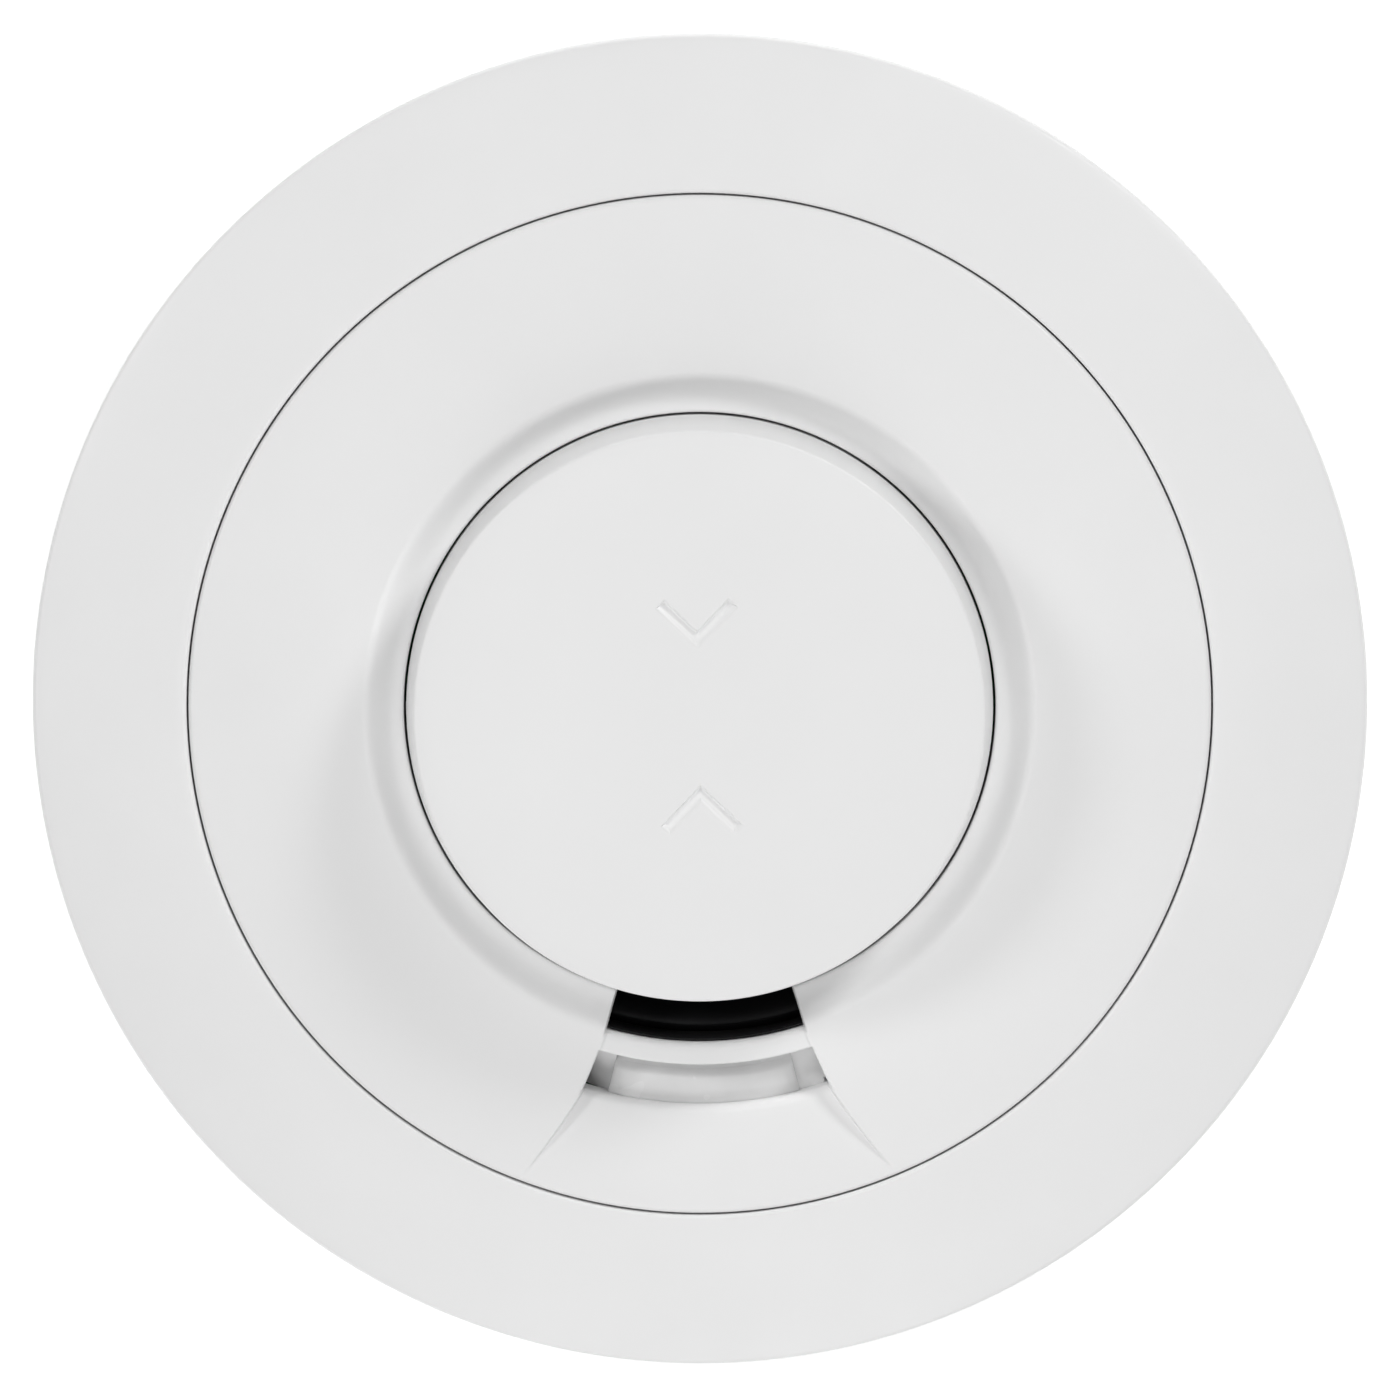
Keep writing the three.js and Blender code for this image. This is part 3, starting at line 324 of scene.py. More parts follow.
def carve(piece, *cutters):
    """Cuts shapes out of a piece and keeps the result as the piece's own mesh."""
    tools = [add_object("cutter", closed_mesh("cutter", cutter)) for cutter in cutters]
    for tool in tools:
        modifier = piece.modifiers.new("cut", "BOOLEAN")
        modifier.operation = "DIFFERENCE"
        modifier.solver = "EXACT"
        modifier.object = tool
    evaluated = piece.evaluated_get(bpy.context.evaluated_depsgraph_get())
    mesh = bpy.data.meshes.new_from_object(evaluated)
    piece.modifiers.clear()
    piece.data = mesh
    smooth(mesh)
    for tool in tools:
        bpy.data.meshes.remove(tool.data)
    return piece


def bevel(piece, width):
    """Rounds the sharp edges of a piece; width in millimetres."""
    modifier = piece.modifiers.new("rounding", "BEVEL")
    modifier.width = MM * width
    modifier.segments = 3
    modifier.limit_method = "ANGLE"
    modifier.angle_limit = math.radians(40.0)
    modifier.harden_normals = True


# --- shapes


def around(loop):
    """Neighbouring pairs all round a closed loop."""
    return list(zip(loop, loop[1:] + loop[:1]))


def bands(lower, upper):
    """Faces between two closed loops of the same length."""
    return [[a, b, d, c] for (a, b), (c, d) in zip(around(lower), around(upper))]


def polar(r, angle, centre=(0.0, 0.0)):
    """The point at a radius and an angle in degrees from a centre."""
    a = math.radians(angle)
    return centre[0] + r * math.cos(a), centre[1] + r * math.sin(a)


def arc(centre, radius, start, end, count):
    """Points of an arc, with both its ends."""
    return [polar(radius, angle, centre) for angle in np.linspace(start, end, count)]


def smooth_step(t):
    t = min(max(t, 0.0), 1.0)
    return t * t * (3 - 2 * t)


def edge_drop(q):
    """Drop of a quarter-round edge of radius 1 at a distance q from the edge."""
    return 0.0 if q >= 1 else 1 - math.sqrt(max(1 - (1 - q) ** 2, 0.0))


def hermite(knots, r):
    """A smooth curve through (r, z, slope) knots."""
    for (r0, z0, m0), (r1, z1, m1) in zip(knots, knots[1:]):
        if r <= r1:
            break
    h = r1 - r0
    t = min(max((r - r0) / h, 0), 1)
    return z0 + (z1 - z0) * smooth_step(t) + h * t * (1 - t) * (m0 * (1 - t) - m1 * t)


def fillet(corner, start, end, radius, count):
    """Points of a rounded corner in a profile: corner, with its neighbours start and end."""
    corner, start, end = (complex(*point) for point in (corner, start, end))
    to_start = (start - corner) / abs(start - corner)
    to_end = (end - corner) / abs(end - corner)
    middle = to_start + to_end
    half = abs(cmath.phase(to_end / to_start)) / 2
    centre = corner + middle / abs(middle) * radius / math.sin(half)
    reach = radius / math.tan(half)
    first = corner + to_start * reach - centre
    last = corner + to_end * reach - centre
    turn = cmath.phase(last / first)
    arc = [centre + first * cmath.rect(1, turn * i / count) for i in range(count + 1)]
    return [(point.real, point.imag) for point in arc]


def rounded(profile, count=5):
    """A closed profile from (r, z) or (r, z, radius) corners, with each radius as an arc."""
    points = []
    for i, corner in enumerate(profile):
        if len(corner) == 2:
            points.append(corner)
        else:
            before, after = profile[i - 1], profile[(i + 1) % len(profile)]
            points += fillet(corner[:2], before[:2], after[:2], corner[2], count)
    return points


def turned(profile, steps=TURN_STEPS, joined=True):
    """A profile turned about Z; a point on the axis becomes one vertex.

    Its last point joins its first, unless both are on the axis or joined is False.
    """
    on_axis = 1e-6
    vertices, rings = [], []
    for r, z in profile:
        if r < on_axis:
            rings.append([len(vertices)] * steps)
            vertices.append((0.0, 0.0, z))
            continue
        rings.append(list(range(len(vertices), len(vertices) + steps)))
        vertices += [(*polar(r, 360 * k / steps), z) for k in range(steps)]
    if not joined or max(profile[0][0], profile[-1][0]) < on_axis:
        pairs = zip(rings, rings[1:])
    else:
        pairs = around(rings)
    quads = [list(dict.fromkeys(face)) for lower, upper in pairs for face in bands(lower, upper)]
    return vertices, [face for face in quads if len(face) > 2]


def polar_solid(r_values, angles, top, bottom):
    """A closed slab on a polar grid, with angles counted from the channel's middle.

    Top and bottom are heights, or functions of r and angle.
    """
    vertices = []
    for height in (top, bottom):
        for r in r_values:
            for angle in angles:
                z = height(r, angle) if callable(height) else height
                vertices.append((*polar(r, CHANNEL_ANGLE + angle), z))
    rows, columns = len(r_values), len(angles)
    under = rows * columns
    faces = []
    for i in range(rows - 1):
        for k in range(i * columns, (i + 1) * columns - 1):
            quad = [k, k + 1, k + columns + 1, k + columns]
            faces += [quad, [under + n for n in reversed(quad)]]
    grid = np.arange(under).reshape(rows, columns)
    sides = (grid[:, 0], grid[-1, 1:], grid[-2::-1, -1], grid[0, -2:0:-1])
    faces += [[a, b, under + b, under + a] for a, b in around(np.concatenate(sides).tolist())]
    return vertices, faces


def arc_block(r0, r1, angle, half, z0, z1, count=10):
    """A block bent round the axis; angle is the true azimuth of its middle."""
    angles = np.linspace(-half, half, count + 1) + angle - CHANNEL_ANGLE
    return polar_solid([r0, r1], angles, z1, z0)


def rounded_box(length, width, radius, count=5):
    """Outline of a rectangle about the origin with rounded corners, anticlockwise."""
    x, y = length / 2 - radius, width / 2 - radius
    outline = []
    for quarter, centre in enumerate(((x, y), (-x, y), (-x, -y), (x, -y))):
        outline += arc(centre, radius, 90 * quarter, 90 * quarter + 90, count + 1)
    return outline


def plan_block(outline, low, high, place=(0.0, 0.0), angle=0.0):
    """A plan outline raised from low to high, turned and then moved."""
    c, s = polar(1.0, angle)
    plan = [(place[0] + c * x - s * y, place[1] + s * x + c * y) for x, y in outline]
    vertices = [(x, y, z) for z in (low, high) for x, y in plan]
    under = list(range(len(plan)))
    over = [k + len(plan) for k in under]
    return vertices, [under[::-1], over, *bands(under, over)]


def swept(points, radius, sides):
    """A round wire along a path, with flat ends."""
    points = [Vector(p) for p in points]
    last = len(points) - 1
    vertices, faces = [], []
    across = None
    for i, point in enumerate(points):
        along = (points[min(i + 1, last)] - points[max(i - 1, 0)]).normalized()
        if across is None:
            across = along.orthogonal()
        across = (across - along * across.dot(along)).normalized()
        up = along.cross(across)
        for k in range(sides):
            c, s = polar(1.0, 360 * k / sides)
            vertices.append(point + radius * (c * across + s * up))
    rings = [list(range(i * sides, (i + 1) * sides)) for i in range(last + 1)]
    for lower, upper in zip(rings, rings[1:]):
        faces += bands(lower, upper)
    return vertices, [*faces, rings[0][::-1], rings[-1]]


def helix(place, radius, steps_per_turn, heights):
    """Points of an upright coil, one at each height."""
    step = 360 / steps_per_turn
    return [(*polar(radius, step * i, place), z) for i, z in enumerate(heights)]


def merged(*shapes):
    """Several shapes as one."""
    vertices, faces = [], []
    for shape_vertices, shape_faces in shapes:
        start = len(vertices)
        vertices += shape_vertices
        faces += [[start + k for k in face] for face in shape_faces]
    return vertices, faces


def post(profile, place, sides=40):
    """A profile turned about an upright line at a place."""
    vertices, faces = turned(profile, sides)
    return [(x + place[0], y + place[1], z) for x, y, z in vertices], faces


def pillar(radius, low, high, place=(0.0, 0.0), sides=40):
    """A plain closed cylinder."""
    return post([(0.0, low), (radius, low), (radius, high), (0.0, high)], place, sides)


# --- trim ring and front cover


def face_z(r):
    """Height of the face at a radius: a wide cone."""
    return SEAM_Z + FACE_SLOPE * (SEAM_R - r)


def ring_z(r):
    """Height of the trim ring, which falls away faster and faster towards its edge."""
    run = r - SEAM_R
    full_run = RING_R - SEAM_R
    bend = (SEAM_Z - RING_EDGE_Z - RING_SLOPE * full_run) / full_run**2
    return SEAM_Z - RING_SLOPE * run - bend * run**2


# The dip round the button: flat at the collar, then a short steep wall up to the cone.
DISH_KNOTS = [
    (COLLAR_R + LIP_ROUND, COLLAR_LIP_Z, 0.02), (30.0, COLLAR_LIP_Z + 0.12, 0.3),
    (31.2, COLLAR_LIP_Z + 0.93, 0.95), (32.1, COLLAR_LIP_Z + 1.7, 0.6),
    (DISH_EDGE_R, face_z(DISH_EDGE_R), -FACE_SLOPE),
]


def cover_z(r):
    """Height of the front cover's top, without the channel."""
    if r >= DISH_EDGE_R:
        return face_z(r)
    rest = COLLAR_R + LIP_ROUND - r
    if rest >= 0:
        return COLLAR_LIP_Z - LIP_ROUND + math.sqrt(max(LIP_ROUND**2 - rest**2, 0))
    return hermite(DISH_KNOTS, r)


def trim_ring():
    """The outer ring: a domed top, a ledge under the cover's edge, and a rib underneath."""
    inner = SEAM_R + SEAM_GAP / 2
    hub = inner + SEAM_WALL
    skin, foot_inset = 2.0, 0.6
    ledge_r, ledge_z, ledge_foot_z = 48.6, 20.0, 18.8
    rib_inner, rib_outer, rib_foot_z = 58.8, 60.2, 14.3
    profile = [
        (RING_R, RING_EDGE_Z, 0.6),
        *[(r, ring_z(r)) for r in np.linspace(RING_R - 1.2, inner + 1.2, 36)],
        (inner, ring_z(inner), SEAM_EDGE), (inner, ledge_z, 0.2), (ledge_r, ledge_z, 0.2),
        (ledge_r, ledge_foot_z, 0.2), (hub, ledge_foot_z, 0.2), (hub, ring_z(hub) - skin),
        (rib_inner, ring_z(rib_inner) - skin), (rib_inner, rib_foot_z, 0.2),
        (rib_outer, rib_foot_z, 0.2), (rib_outer, ring_z(rib_outer) - skin),
        (RING_R - skin, RING_EDGE_Z - skin, 0.8), (RING_R - skin - foot_inset, RING_FOOT_Z, 0.3),
        (RING_R - foot_inset, RING_FOOT_Z, 0.9),
    ]
    new_piece("trim_ring_shell", "white_face", turned(rounded(profile)), "trim_ring")


def side_angle(r):
    """Half-angle of the channel at a radius: its sides flare out along the ramp."""
    return float(np.interp(r, SIDE_RADII, SIDE_ANGLES))


def grid_angle(phi, r):
    """Angle of a grid line from the channel's middle, bent so that +-SIDE follows the side."""
    size = float(np.interp(abs(phi), [0, SIDE, SIDE + EASE], [0, side_angle(r), SIDE + EASE]))
    return math.copysign(size, phi) if abs(phi) < SIDE + EASE else phi


def channel_height(r, phi):
    """Top of the front cover at a grid point outside the channel's two holes."""
    z = cover_z(r)
    beyond = (abs(grid_angle(phi, r)) - side_angle(r)) * math.radians(1) * r
    inside = smooth_step(-beyond / STEP_WIDTH)
    aside = max(beyond, 0.0) / SIDE_ROUND
    along = (r - RECESS_OUTER_R) / (RIM_R - RECESS_OUTER_R)
    if 0 <= along < 1:
        ramp_low = face_z(RECESS_OUTER_R) - RAMP_DEPTH
        ramp = ramp_low + (face_z(RIM_R) - ramp_low) * along
        z -= (z - ramp) * inside
    if PORT_OUTER_R <= r <= RECESS_INNER_R:
        z -= RIM_STEP * inside
    if r < (PORT_OUTER_R + RECESS_INNER_R) / 2:
        z -= PORT_ROUND * edge_drop(math.hypot(max(r - PORT_OUTER_R, 0.0) / PORT_ROUND, aside))
    if RECESS_INNER_R - RIM_ROUND <= r <= RECESS_INNER_R:
        z -= RIM_ROUND * edge_drop(math.hypot((RECESS_INNER_R - r) / RIM_ROUND, aside))
    elif RECESS_INNER_R < r < RECESS_OUTER_R:
        z -= RIM_ROUND * edge_drop(aside)
    elif RECESS_OUTER_R <= r < RECESS_OUTER_R + RAMP_ROUND:
        z -= RAMP_ROUND * edge_drop(math.hypot((r - RECESS_OUTER_R) / RAMP_ROUND, aside))
    return z


def cover_underside(r, phi):
    """Underside of the front cover: lower where it passes under the recess and the ramp."""
    if r <= PORT_OUTER_R + 0.1:
        return DISH_UNDERSIDE_Z
    in_channel = abs(phi) < SIDE + 3
    if in_channel and r <= RECESS_OUTER_R + 1.3:
        return RECESS_FLOOR_Z - 1.2
    if in_channel and r < RIM_R:
        return RECESS_FLOOR_Z + 0.2
    return face_z(r) - SKIN


def cover_radii(wall_r):
    """Radii of the cover's grid, close together along every rounded edge."""
    radii = [COLLAR_R + x for x in (0.0, 0.03, 0.08, 0.15, 0.22)]
    radii += list(np.linspace(COLLAR_R + LIP_ROUND, PORT_OUTER_R, 22))
    radii += [PORT_OUTER_R + x for x in (0.03, 0.08, 0.15, 0.24, 0.35, 0.5, 0.65, 0.8, 1.0)]
    radii += [RECESS_INNER_R - x for x in (0.9, 0.6, 0.35, 0.18, 0.1, 0.05, 0.02)]
    radii += list(np.linspace(RECESS_INNER_R, RECESS_OUTER_R, 6))
    radii += [RECESS_OUTER_R + RAMP_ROUND * x for x in (0.03, 0.1, 0.2, 0.35, 0.55, 0.8)]
    radii += list(np.linspace(RECESS_OUTER_R + RAMP_ROUND, wall_r, 16))
    radii += [COVER_R - x for x in (SEAM_EDGE, 0.22, 0.1, 0.03, 0.0)]
    radii += [COLLAR_OUTER_R, RIM_R - 0.5, RIM_R]
    return sorted(set(round(float(r), 4) for r in radii))


def cover_angles():
    """Grid angles from the channel's middle, close together along its sides."""
    near, plain = 1.2, 1.4  # how far from a side the even steps begin, inside and outside
    offsets = [0.0, 0.03, 0.07, 0.12, 0.18, 0.26, 0.36, 0.5, 0.8]
    phis = [side + way * x for side in (-SIDE, SIDE) for way in (-1, 1) for x in offsets]
    phis += list(np.linspace(near - SIDE, SIDE - near, 25))
    phis += list(np.linspace(SIDE + plain, 360 - SIDE - plain, 225))
    return sorted(set(round(p - 360 if p > 180 else p, 4) for p in phis))


def front_cover():
    """The face between ring and button, with the collar, the channel and its two holes."""
    tiny = 1e-6
    wall_foot_z = 20.3
    wall_r = COVER_R - SEAM_WALL
    radii, phis = cover_radii(wall_r), cover_angles()
    columns = len(phis)
    vertices = []

    def row(r, height):
        """Adds a ring of grid points and gives their numbers."""
        first = len(vertices)
        for phi in phis:
            z = height(r, phi) if callable(height) else height
            vertices.append((*polar(r, CHANNEL_ANGLE + grid_angle(phi, r)), z))
        return list(range(first, first + columns))

    def top_z(r, phi):
        return channel_height(r, phi) - SEAM_EDGE * edge_drop((COVER_R - r) / SEAM_EDGE)

    def in_hole(r, j):
        """Whether the radius, between columns j and j + 1, is in the port or the recess."""
        beside = max(abs(phis[j]), abs(phis[(j + 1) % columns])) > SIDE + tiny
        return not beside and (r < PORT_OUTER_R or RECESS_INNER_R < r < RECESS_OUTER_R)

    top = [row(r, top_z) for r in radii]
    low = {i: row(r, cover_underside) for i, r in enumerate(radii)
           if COLLAR_OUTER_R - tiny <= r <= wall_r + 1e-3}
    low_rows = list(low)
    foot_in, foot_out = row(COLLAR_R, COLLAR_FOOT_Z), row(COLLAR_OUTER_R, COLLAR_FOOT_Z)
    wall_out = row(COVER_R, wall_foot_z)
    wall_in = row(radii[low_rows[-1]], wall_foot_z)

    strips = [(top[i], top[i + 1], (radii[i] + radii[i + 1]) / 2) for i in range(len(radii) - 1)]
    strips += [(low[b], low[a], (radii[a] + radii[b]) / 2) for a, b in zip(low_rows, low_rows[1:])]
    strips += [(foot_in, top[0], COLLAR_R), (foot_out, foot_in, COLLAR_R),
               (low[low_rows[0]], foot_out, COLLAR_R), (top[-1], wall_out, COVER_R),
               (wall_out, wall_in, COVER_R), (wall_in, low[low_rows[-1]], COVER_R)]
    faces = []
    for first, second, r in strips:
        quads = bands(first, second)
        faces += [quad for j, quad in enumerate(quads) if not in_hole(r, j)]

    row_at = {r: i for i, r in enumerate(radii)}
    port, rim, ramp = (row_at[round(r, 4)] for r in SIDE_RADII[:3])
    inside = [j for j in range(columns - 1) if in_hole(COLLAR_R, j)]
    for i in (port, rim, ramp):
        faces += [[top[i][j], top[i][j + 1], low[i][j + 1], low[i][j]] for j in inside]
    for j in (inside[0], inside[-1] + 1):
        faces += [[top[i][j], top[i + 1][j], low[i + 1][j], low[i][j]] for i in range(rim, ramp)]
        outline = [top[i][j] for i in range(port + 1)]
        outline += [low[i][j] for i in reversed(low_rows) if i <= port]
        faces.append(outline + [foot_out[j], foot_in[j]])
    new_piece("front_cover_shell", "white_face", (vertices, faces), "front_cover")


# --- inside the recess and the port


def light_guide():
    """The milky bar in the recess: a ledge at the rim, and a soft edge towards the ramp."""
    inner, outer = RECESS_INNER_R + 0.02, RECESS_OUTER_R + 0.15
    ledge, rise = 0.65, 0.95  # width of the ledge and of the slope up from it
    round_r, outer_drop = 1.3, 0.75
    round_end, end_drop = 1.5, 0.8
    end = math.degrees(round_end / (inner + outer) * 2)
    bottom = GUIDE_TOP_Z - 2.5

    def top(r, angle):
        slope = GUIDE_LEDGE_DROP * (1 - smooth_step((r - inner - ledge) / rise))
        out = edge_drop((outer - r) / round_r) * outer_drop
        aside = (GUIDE_HALF_ANGLE - abs(angle - GUIDE_ANGLE)) / end
        return GUIDE_TOP_Z - slope - out - edge_drop(aside) * end_drop

    radii = list(np.linspace(inner, outer - round_r, 16))[:-1]
    radii += [outer - round_r * (1 - x) for x in (0.0, 0.2, 0.4, 0.6, 0.8, 0.92, 0.98, 1.0)]
    steps = [end * x for x in (0.0, 0.08, 0.25, 0.5, 0.75, 1.0)]
    angles = [GUIDE_LOW + x for x in steps]
    angles += list(np.linspace(GUIDE_LOW + end, GUIDE_HIGH - end, 14))[1:-1]
    angles += [GUIDE_HIGH - x for x in reversed(steps)]
    bar = polar_solid(radii, angles, top, bottom)
    new_piece("light_guide_bar", "milky_plastic", bar, "light_guide")
    stem_z = 13.6  # the stem stands over the status LED
    stem = plan_block(rounded_box(6.0, 2.6, 0.5), stem_z, bottom + 0.2, polar(*LED_SPOT))
    bevel(new_piece("light_guide_stem", "milky_plastic", stem, "light_guide"), 0.15)


def recess_floor(name, low, high, inner_z, low_z, high_z, drain):
    """The recess floor from the angle low to high, on one side of the light guide.

    It slopes from inner_z to low_z and high_z at its outer corners; the far one has a drain.
    """
    inner, outer = RECESS_INNER_R - 0.1, RECESS_OUTER_R + 0.1
    far = max(abs(low), abs(high))
    drain_reach, thickness = 0.75, 0.8

    def top(r, angle):
        outer_z = low_z + (high_z - low_z) * (angle - low) / (high - low)
        away = math.hypot(outer - r, math.radians(far - abs(angle)) * r)
        dip = drain * smooth_step(1 - away / drain_reach)
        return inner_z + (outer_z - inner_z) * ((r - inner) / (outer - inner)) ** 1.3 - dip

    slab = polar_solid(np.linspace(inner, outer, 24), np.linspace(low, high, 16), top,
                       low_z - drain - thickness)
    new_piece(name, "white_face", slab, "front_cover")


def recess_tray():
    """The recess floor beside the light guide: deep at the left, shallow at the right."""
    side = SIDE_ANGLES[2] + 0.2
    recess_floor("recess_floor_left", -side, GUIDE_LOW + 0.1, 22.9, 17.5, 20.6, 0.0)
    recess_floor("recess_floor_right", GUIDE_HIGH - 0.1, side, 22.1, 22.0, 22.0, 2.5)


def inlet_duct():
    """The black duct under the port: a floor with a low ridge, and a thin wall up into it."""
    outer = PORT_OUTER_R - 0.12
    wall, wall_z = 0.13, 26.6
    foot_z, half = 12.0, SIDE - 0.25
    low_r = COLLAR_R - 3.5
    floor_knots = [(low_r, 16.5, 0.4), (29.4, 18.8, 0.9), (31.0, 21.3, 0.8), (31.6, 21.4, -0.6),
                   (outer, 19.6, -1.8)]

    def top(r, angle):
        return wall_z if r > outer - wall - 0.01 else hermite(floor_knots, r)

    radii = [*np.linspace(low_r, outer - wall - 0.03, 36), outer - wall, outer]
    duct = polar_solid(radii, np.linspace(-half, half, 19), top, foot_z)
    new_piece("inlet_duct_shell", "black_plastic", duct, "inlet_duct")


# --- test button


# Levels of a press mark: outside its upper edges, outside its lower edges, over the plate.
PRESS_MARK_LEVELS = [
    (0.12, 0.2, 0.0), (0.07, 0.12, 0.0), (0.0, 0.0, -0.03), (-0.06, -0.2, -0.13),
    (-0.14, -0.42, -0.28), (-0.22, -0.62, -0.35), (-0.3, -0.72, -0.37),
]


def offset_outline(points, upper, lower):
    """A closed outline with its upper and its lower edges moved outwards."""
    points = [np.array(point, float) for point in points]
    moved = []
    for p, q, s in zip(points[-1:] + points[:-1], points, points[1:] + points[:1]):
        sides = [np.array([d[1], -d[0]]) / np.linalg.norm(d) for d in (q - p, s - q)]
        steps = [upper if side[1] > 0 else lower for side in sides]
        moved.append(q + np.linalg.solve(sides, steps))
    return moved


def arrowhead(direction):
    """Outline of one plain press mark; direction is 1 for the upper and -1 for the lower."""
    apex, reach, stroke = 6.6, 4.0, 1.75
    end, half = apex + reach, stroke / 2
    points = [(0, apex), (reach, end), (reach - half, end + half), (0, apex + stroke),
              (half - reach, end + half), (-reach, end)]
    return [(direction * x, direction * y) for x, y in points]


def test_button():
    """The cap, with a slightly crowned top and two press marks sunk into its middle."""
    inner = BUTTON_R - 1.8
    flat_r, crown_r, crown_drop = 15.0, BUTTON_TOP_R - 1.5, 0.4
    profile = [
        (0.0, BUTTON_CEILING_Z),
        (inner, BUTTON_CEILING_Z, 0.4),
        (inner, BUTTON_FOOT_Z, 0.3),
        (BUTTON_R, BUTTON_FOOT_Z, 0.3),
        (BUTTON_R, COLLAR_LIP_Z),
        (BUTTON_TOP_R, BUTTON_TOP_Z - 0.6, 0.35),
        *[(r, BUTTON_TOP_Z - crown_drop * ((r - flat_r) / (crown_r - flat_r)) ** 2)
          for r in np.linspace(crown_r, flat_r, 12)],
    ]
    vertices, faces = turned(rounded(profile, 7), joined=False)
    bm = bmesh.new()
    made = [bm.verts.new([MM * c for c in v]) for v in vertices]
    for face in faces:
        bm.faces.new([made[k] for k in face])
    borders = [made[-TURN_STEPS:]]  # of the flat plate in the middle: its rim and both marks
    for direction in (1, -1):
        rings = []
        for upper, lower, height in PRESS_MARK_LEVELS:
            outline = offset_outline(arrowhead(direction), upper, lower)
            z = MM * (BUTTON_TOP_Z + height)
            rings.append([bm.verts.new((MM * x, MM * y, z)) for x, y in outline])
        for upper, lower in zip(rings, rings[1:]):
            for face in bands(upper, lower):
                bm.faces.new(face)
        bm.faces.new(rings[-1])
        borders.append(rings[0])
    edges = [bm.edges.get(pair) for border in borders for pair in around(border)]
    bmesh.ops.triangle_fill(bm, use_beauty=True, edges=edges, normal=(0, 0, 1))
    bmesh.ops.recalc_face_normals(bm, faces=bm.faces)
    mesh = bpy.data.meshes.new("test_button_cap")
    bm.to_mesh(mesh)
    bm.free()
    smooth(mesh, SHARP_ANGLE + 2)
    add_piece("test_button_cap", "white_face", mesh, ["test_button"], "button")


# --- housing and base

SCREW_PLACES = [polar(43.0, angle) for angle in SCREW_ANGLES]
STANDOFF_PLACES = [polar(42.0, angle) for angle in STANDOFF_ANGLES]


def off_angle(a, b):
    """Angle between two directions."""
    return abs((a - b + 180) % 360 - 180)


def slotted(profile, low_z, high_z, slots, half, steps=360):
    """A closed profile turned about Z, with slots of half-angle half through its wall.

    The profile has points at low_z and high_z, rising on its outer and falling on its inner side.
    """
    angles = set(np.round(np.arange(steps) * 360 / steps, 4))
    for slot in slots:
        angles = {a for a in angles if not 0 < off_angle(a, slot) - half + 0.5 < 1}
        angles |= {round((slot - half) % 360, 4), round((slot + half) % 360, 4)}
    angles = sorted(angles)
    count, columns = len(profile), len(angles)
    vertices = [(*polar(r, a), z) for r, z in profile for a in angles]
    opened = [i for i in range(count)
              if {profile[i][1], profile[(i + 1) % count][1]} == {low_z, high_z}]
    middles = [a + (b - a) % 360 / 2 for a, b in around(angles)]
    in_slot = [any(off_angle(middle, slot) < half for slot in slots) for middle in middles]
    rings = [list(range(i * columns, (i + 1) * columns)) for i in range(count)]
    faces = []
    for i, (ring, following) in enumerate(around(rings)):
        quads = bands(ring, following)
        faces += [quad for j, quad in enumerate(quads) if not (i in opened and in_slot[j])]
    outer_low, outer_high, inner_high, inner_low = (rings[i + k] for i in opened for k in (0, 1))
    for below, above in ((outer_low, inner_low), (inner_high, outer_high)):
        faces += [quad for j, quad in enumerate(bands(below, above)) if in_slot[j]]
    for j in range(columns):
        if in_slot[j] != in_slot[j - 1]:
            faces.append([ring[j] for ring in (outer_low, outer_high, inner_high, inner_low)])
    return vertices, faces


def cell_cradle():
    """Two ribs hollowed to the cell's round side."""
    hollow_r, half_width, rib = 8.8, 7.5, 1.4
    low, high = HOUSING_INSIDE_Z - 0.2, 8.2
    hollow = [(y, min(CELL_Z - math.sqrt(hollow_r**2 - y**2), high))
              for y in np.linspace(half_width, -half_width, 14)]
    outline = [(-half_width, low), (half_width, low), *hollow]
    ribs = []
    for x in (-10.0, 10.0):
        vertices, faces = plan_block(outline, x - rib / 2, x + rib / 2)
        ribs.append(([(z, CELL_Y + y, up) for y, up, z in vertices], faces))
    return ribs


# A tube for a housing screw, with a wide mouth for its head.
SCREW_BOSS = [(2.9, HOUSING_FLOOR_Z), (3.4, HOUSING_FLOOR_Z), (3.4, 13.6), (1.7, 13.6),
              (1.7, 5.0), (2.9, 5.0)]
# A short tube under the board, with lightly broken edges.
STANDOFF = [(2.8, HOUSING_INSIDE_Z - 0.2), (2.8, 7.0), (2.6, 7.2), (1.5, 7.2), (1.3, 7.0),
            (1.3, HOUSING_INSIDE_Z - 0.2)]


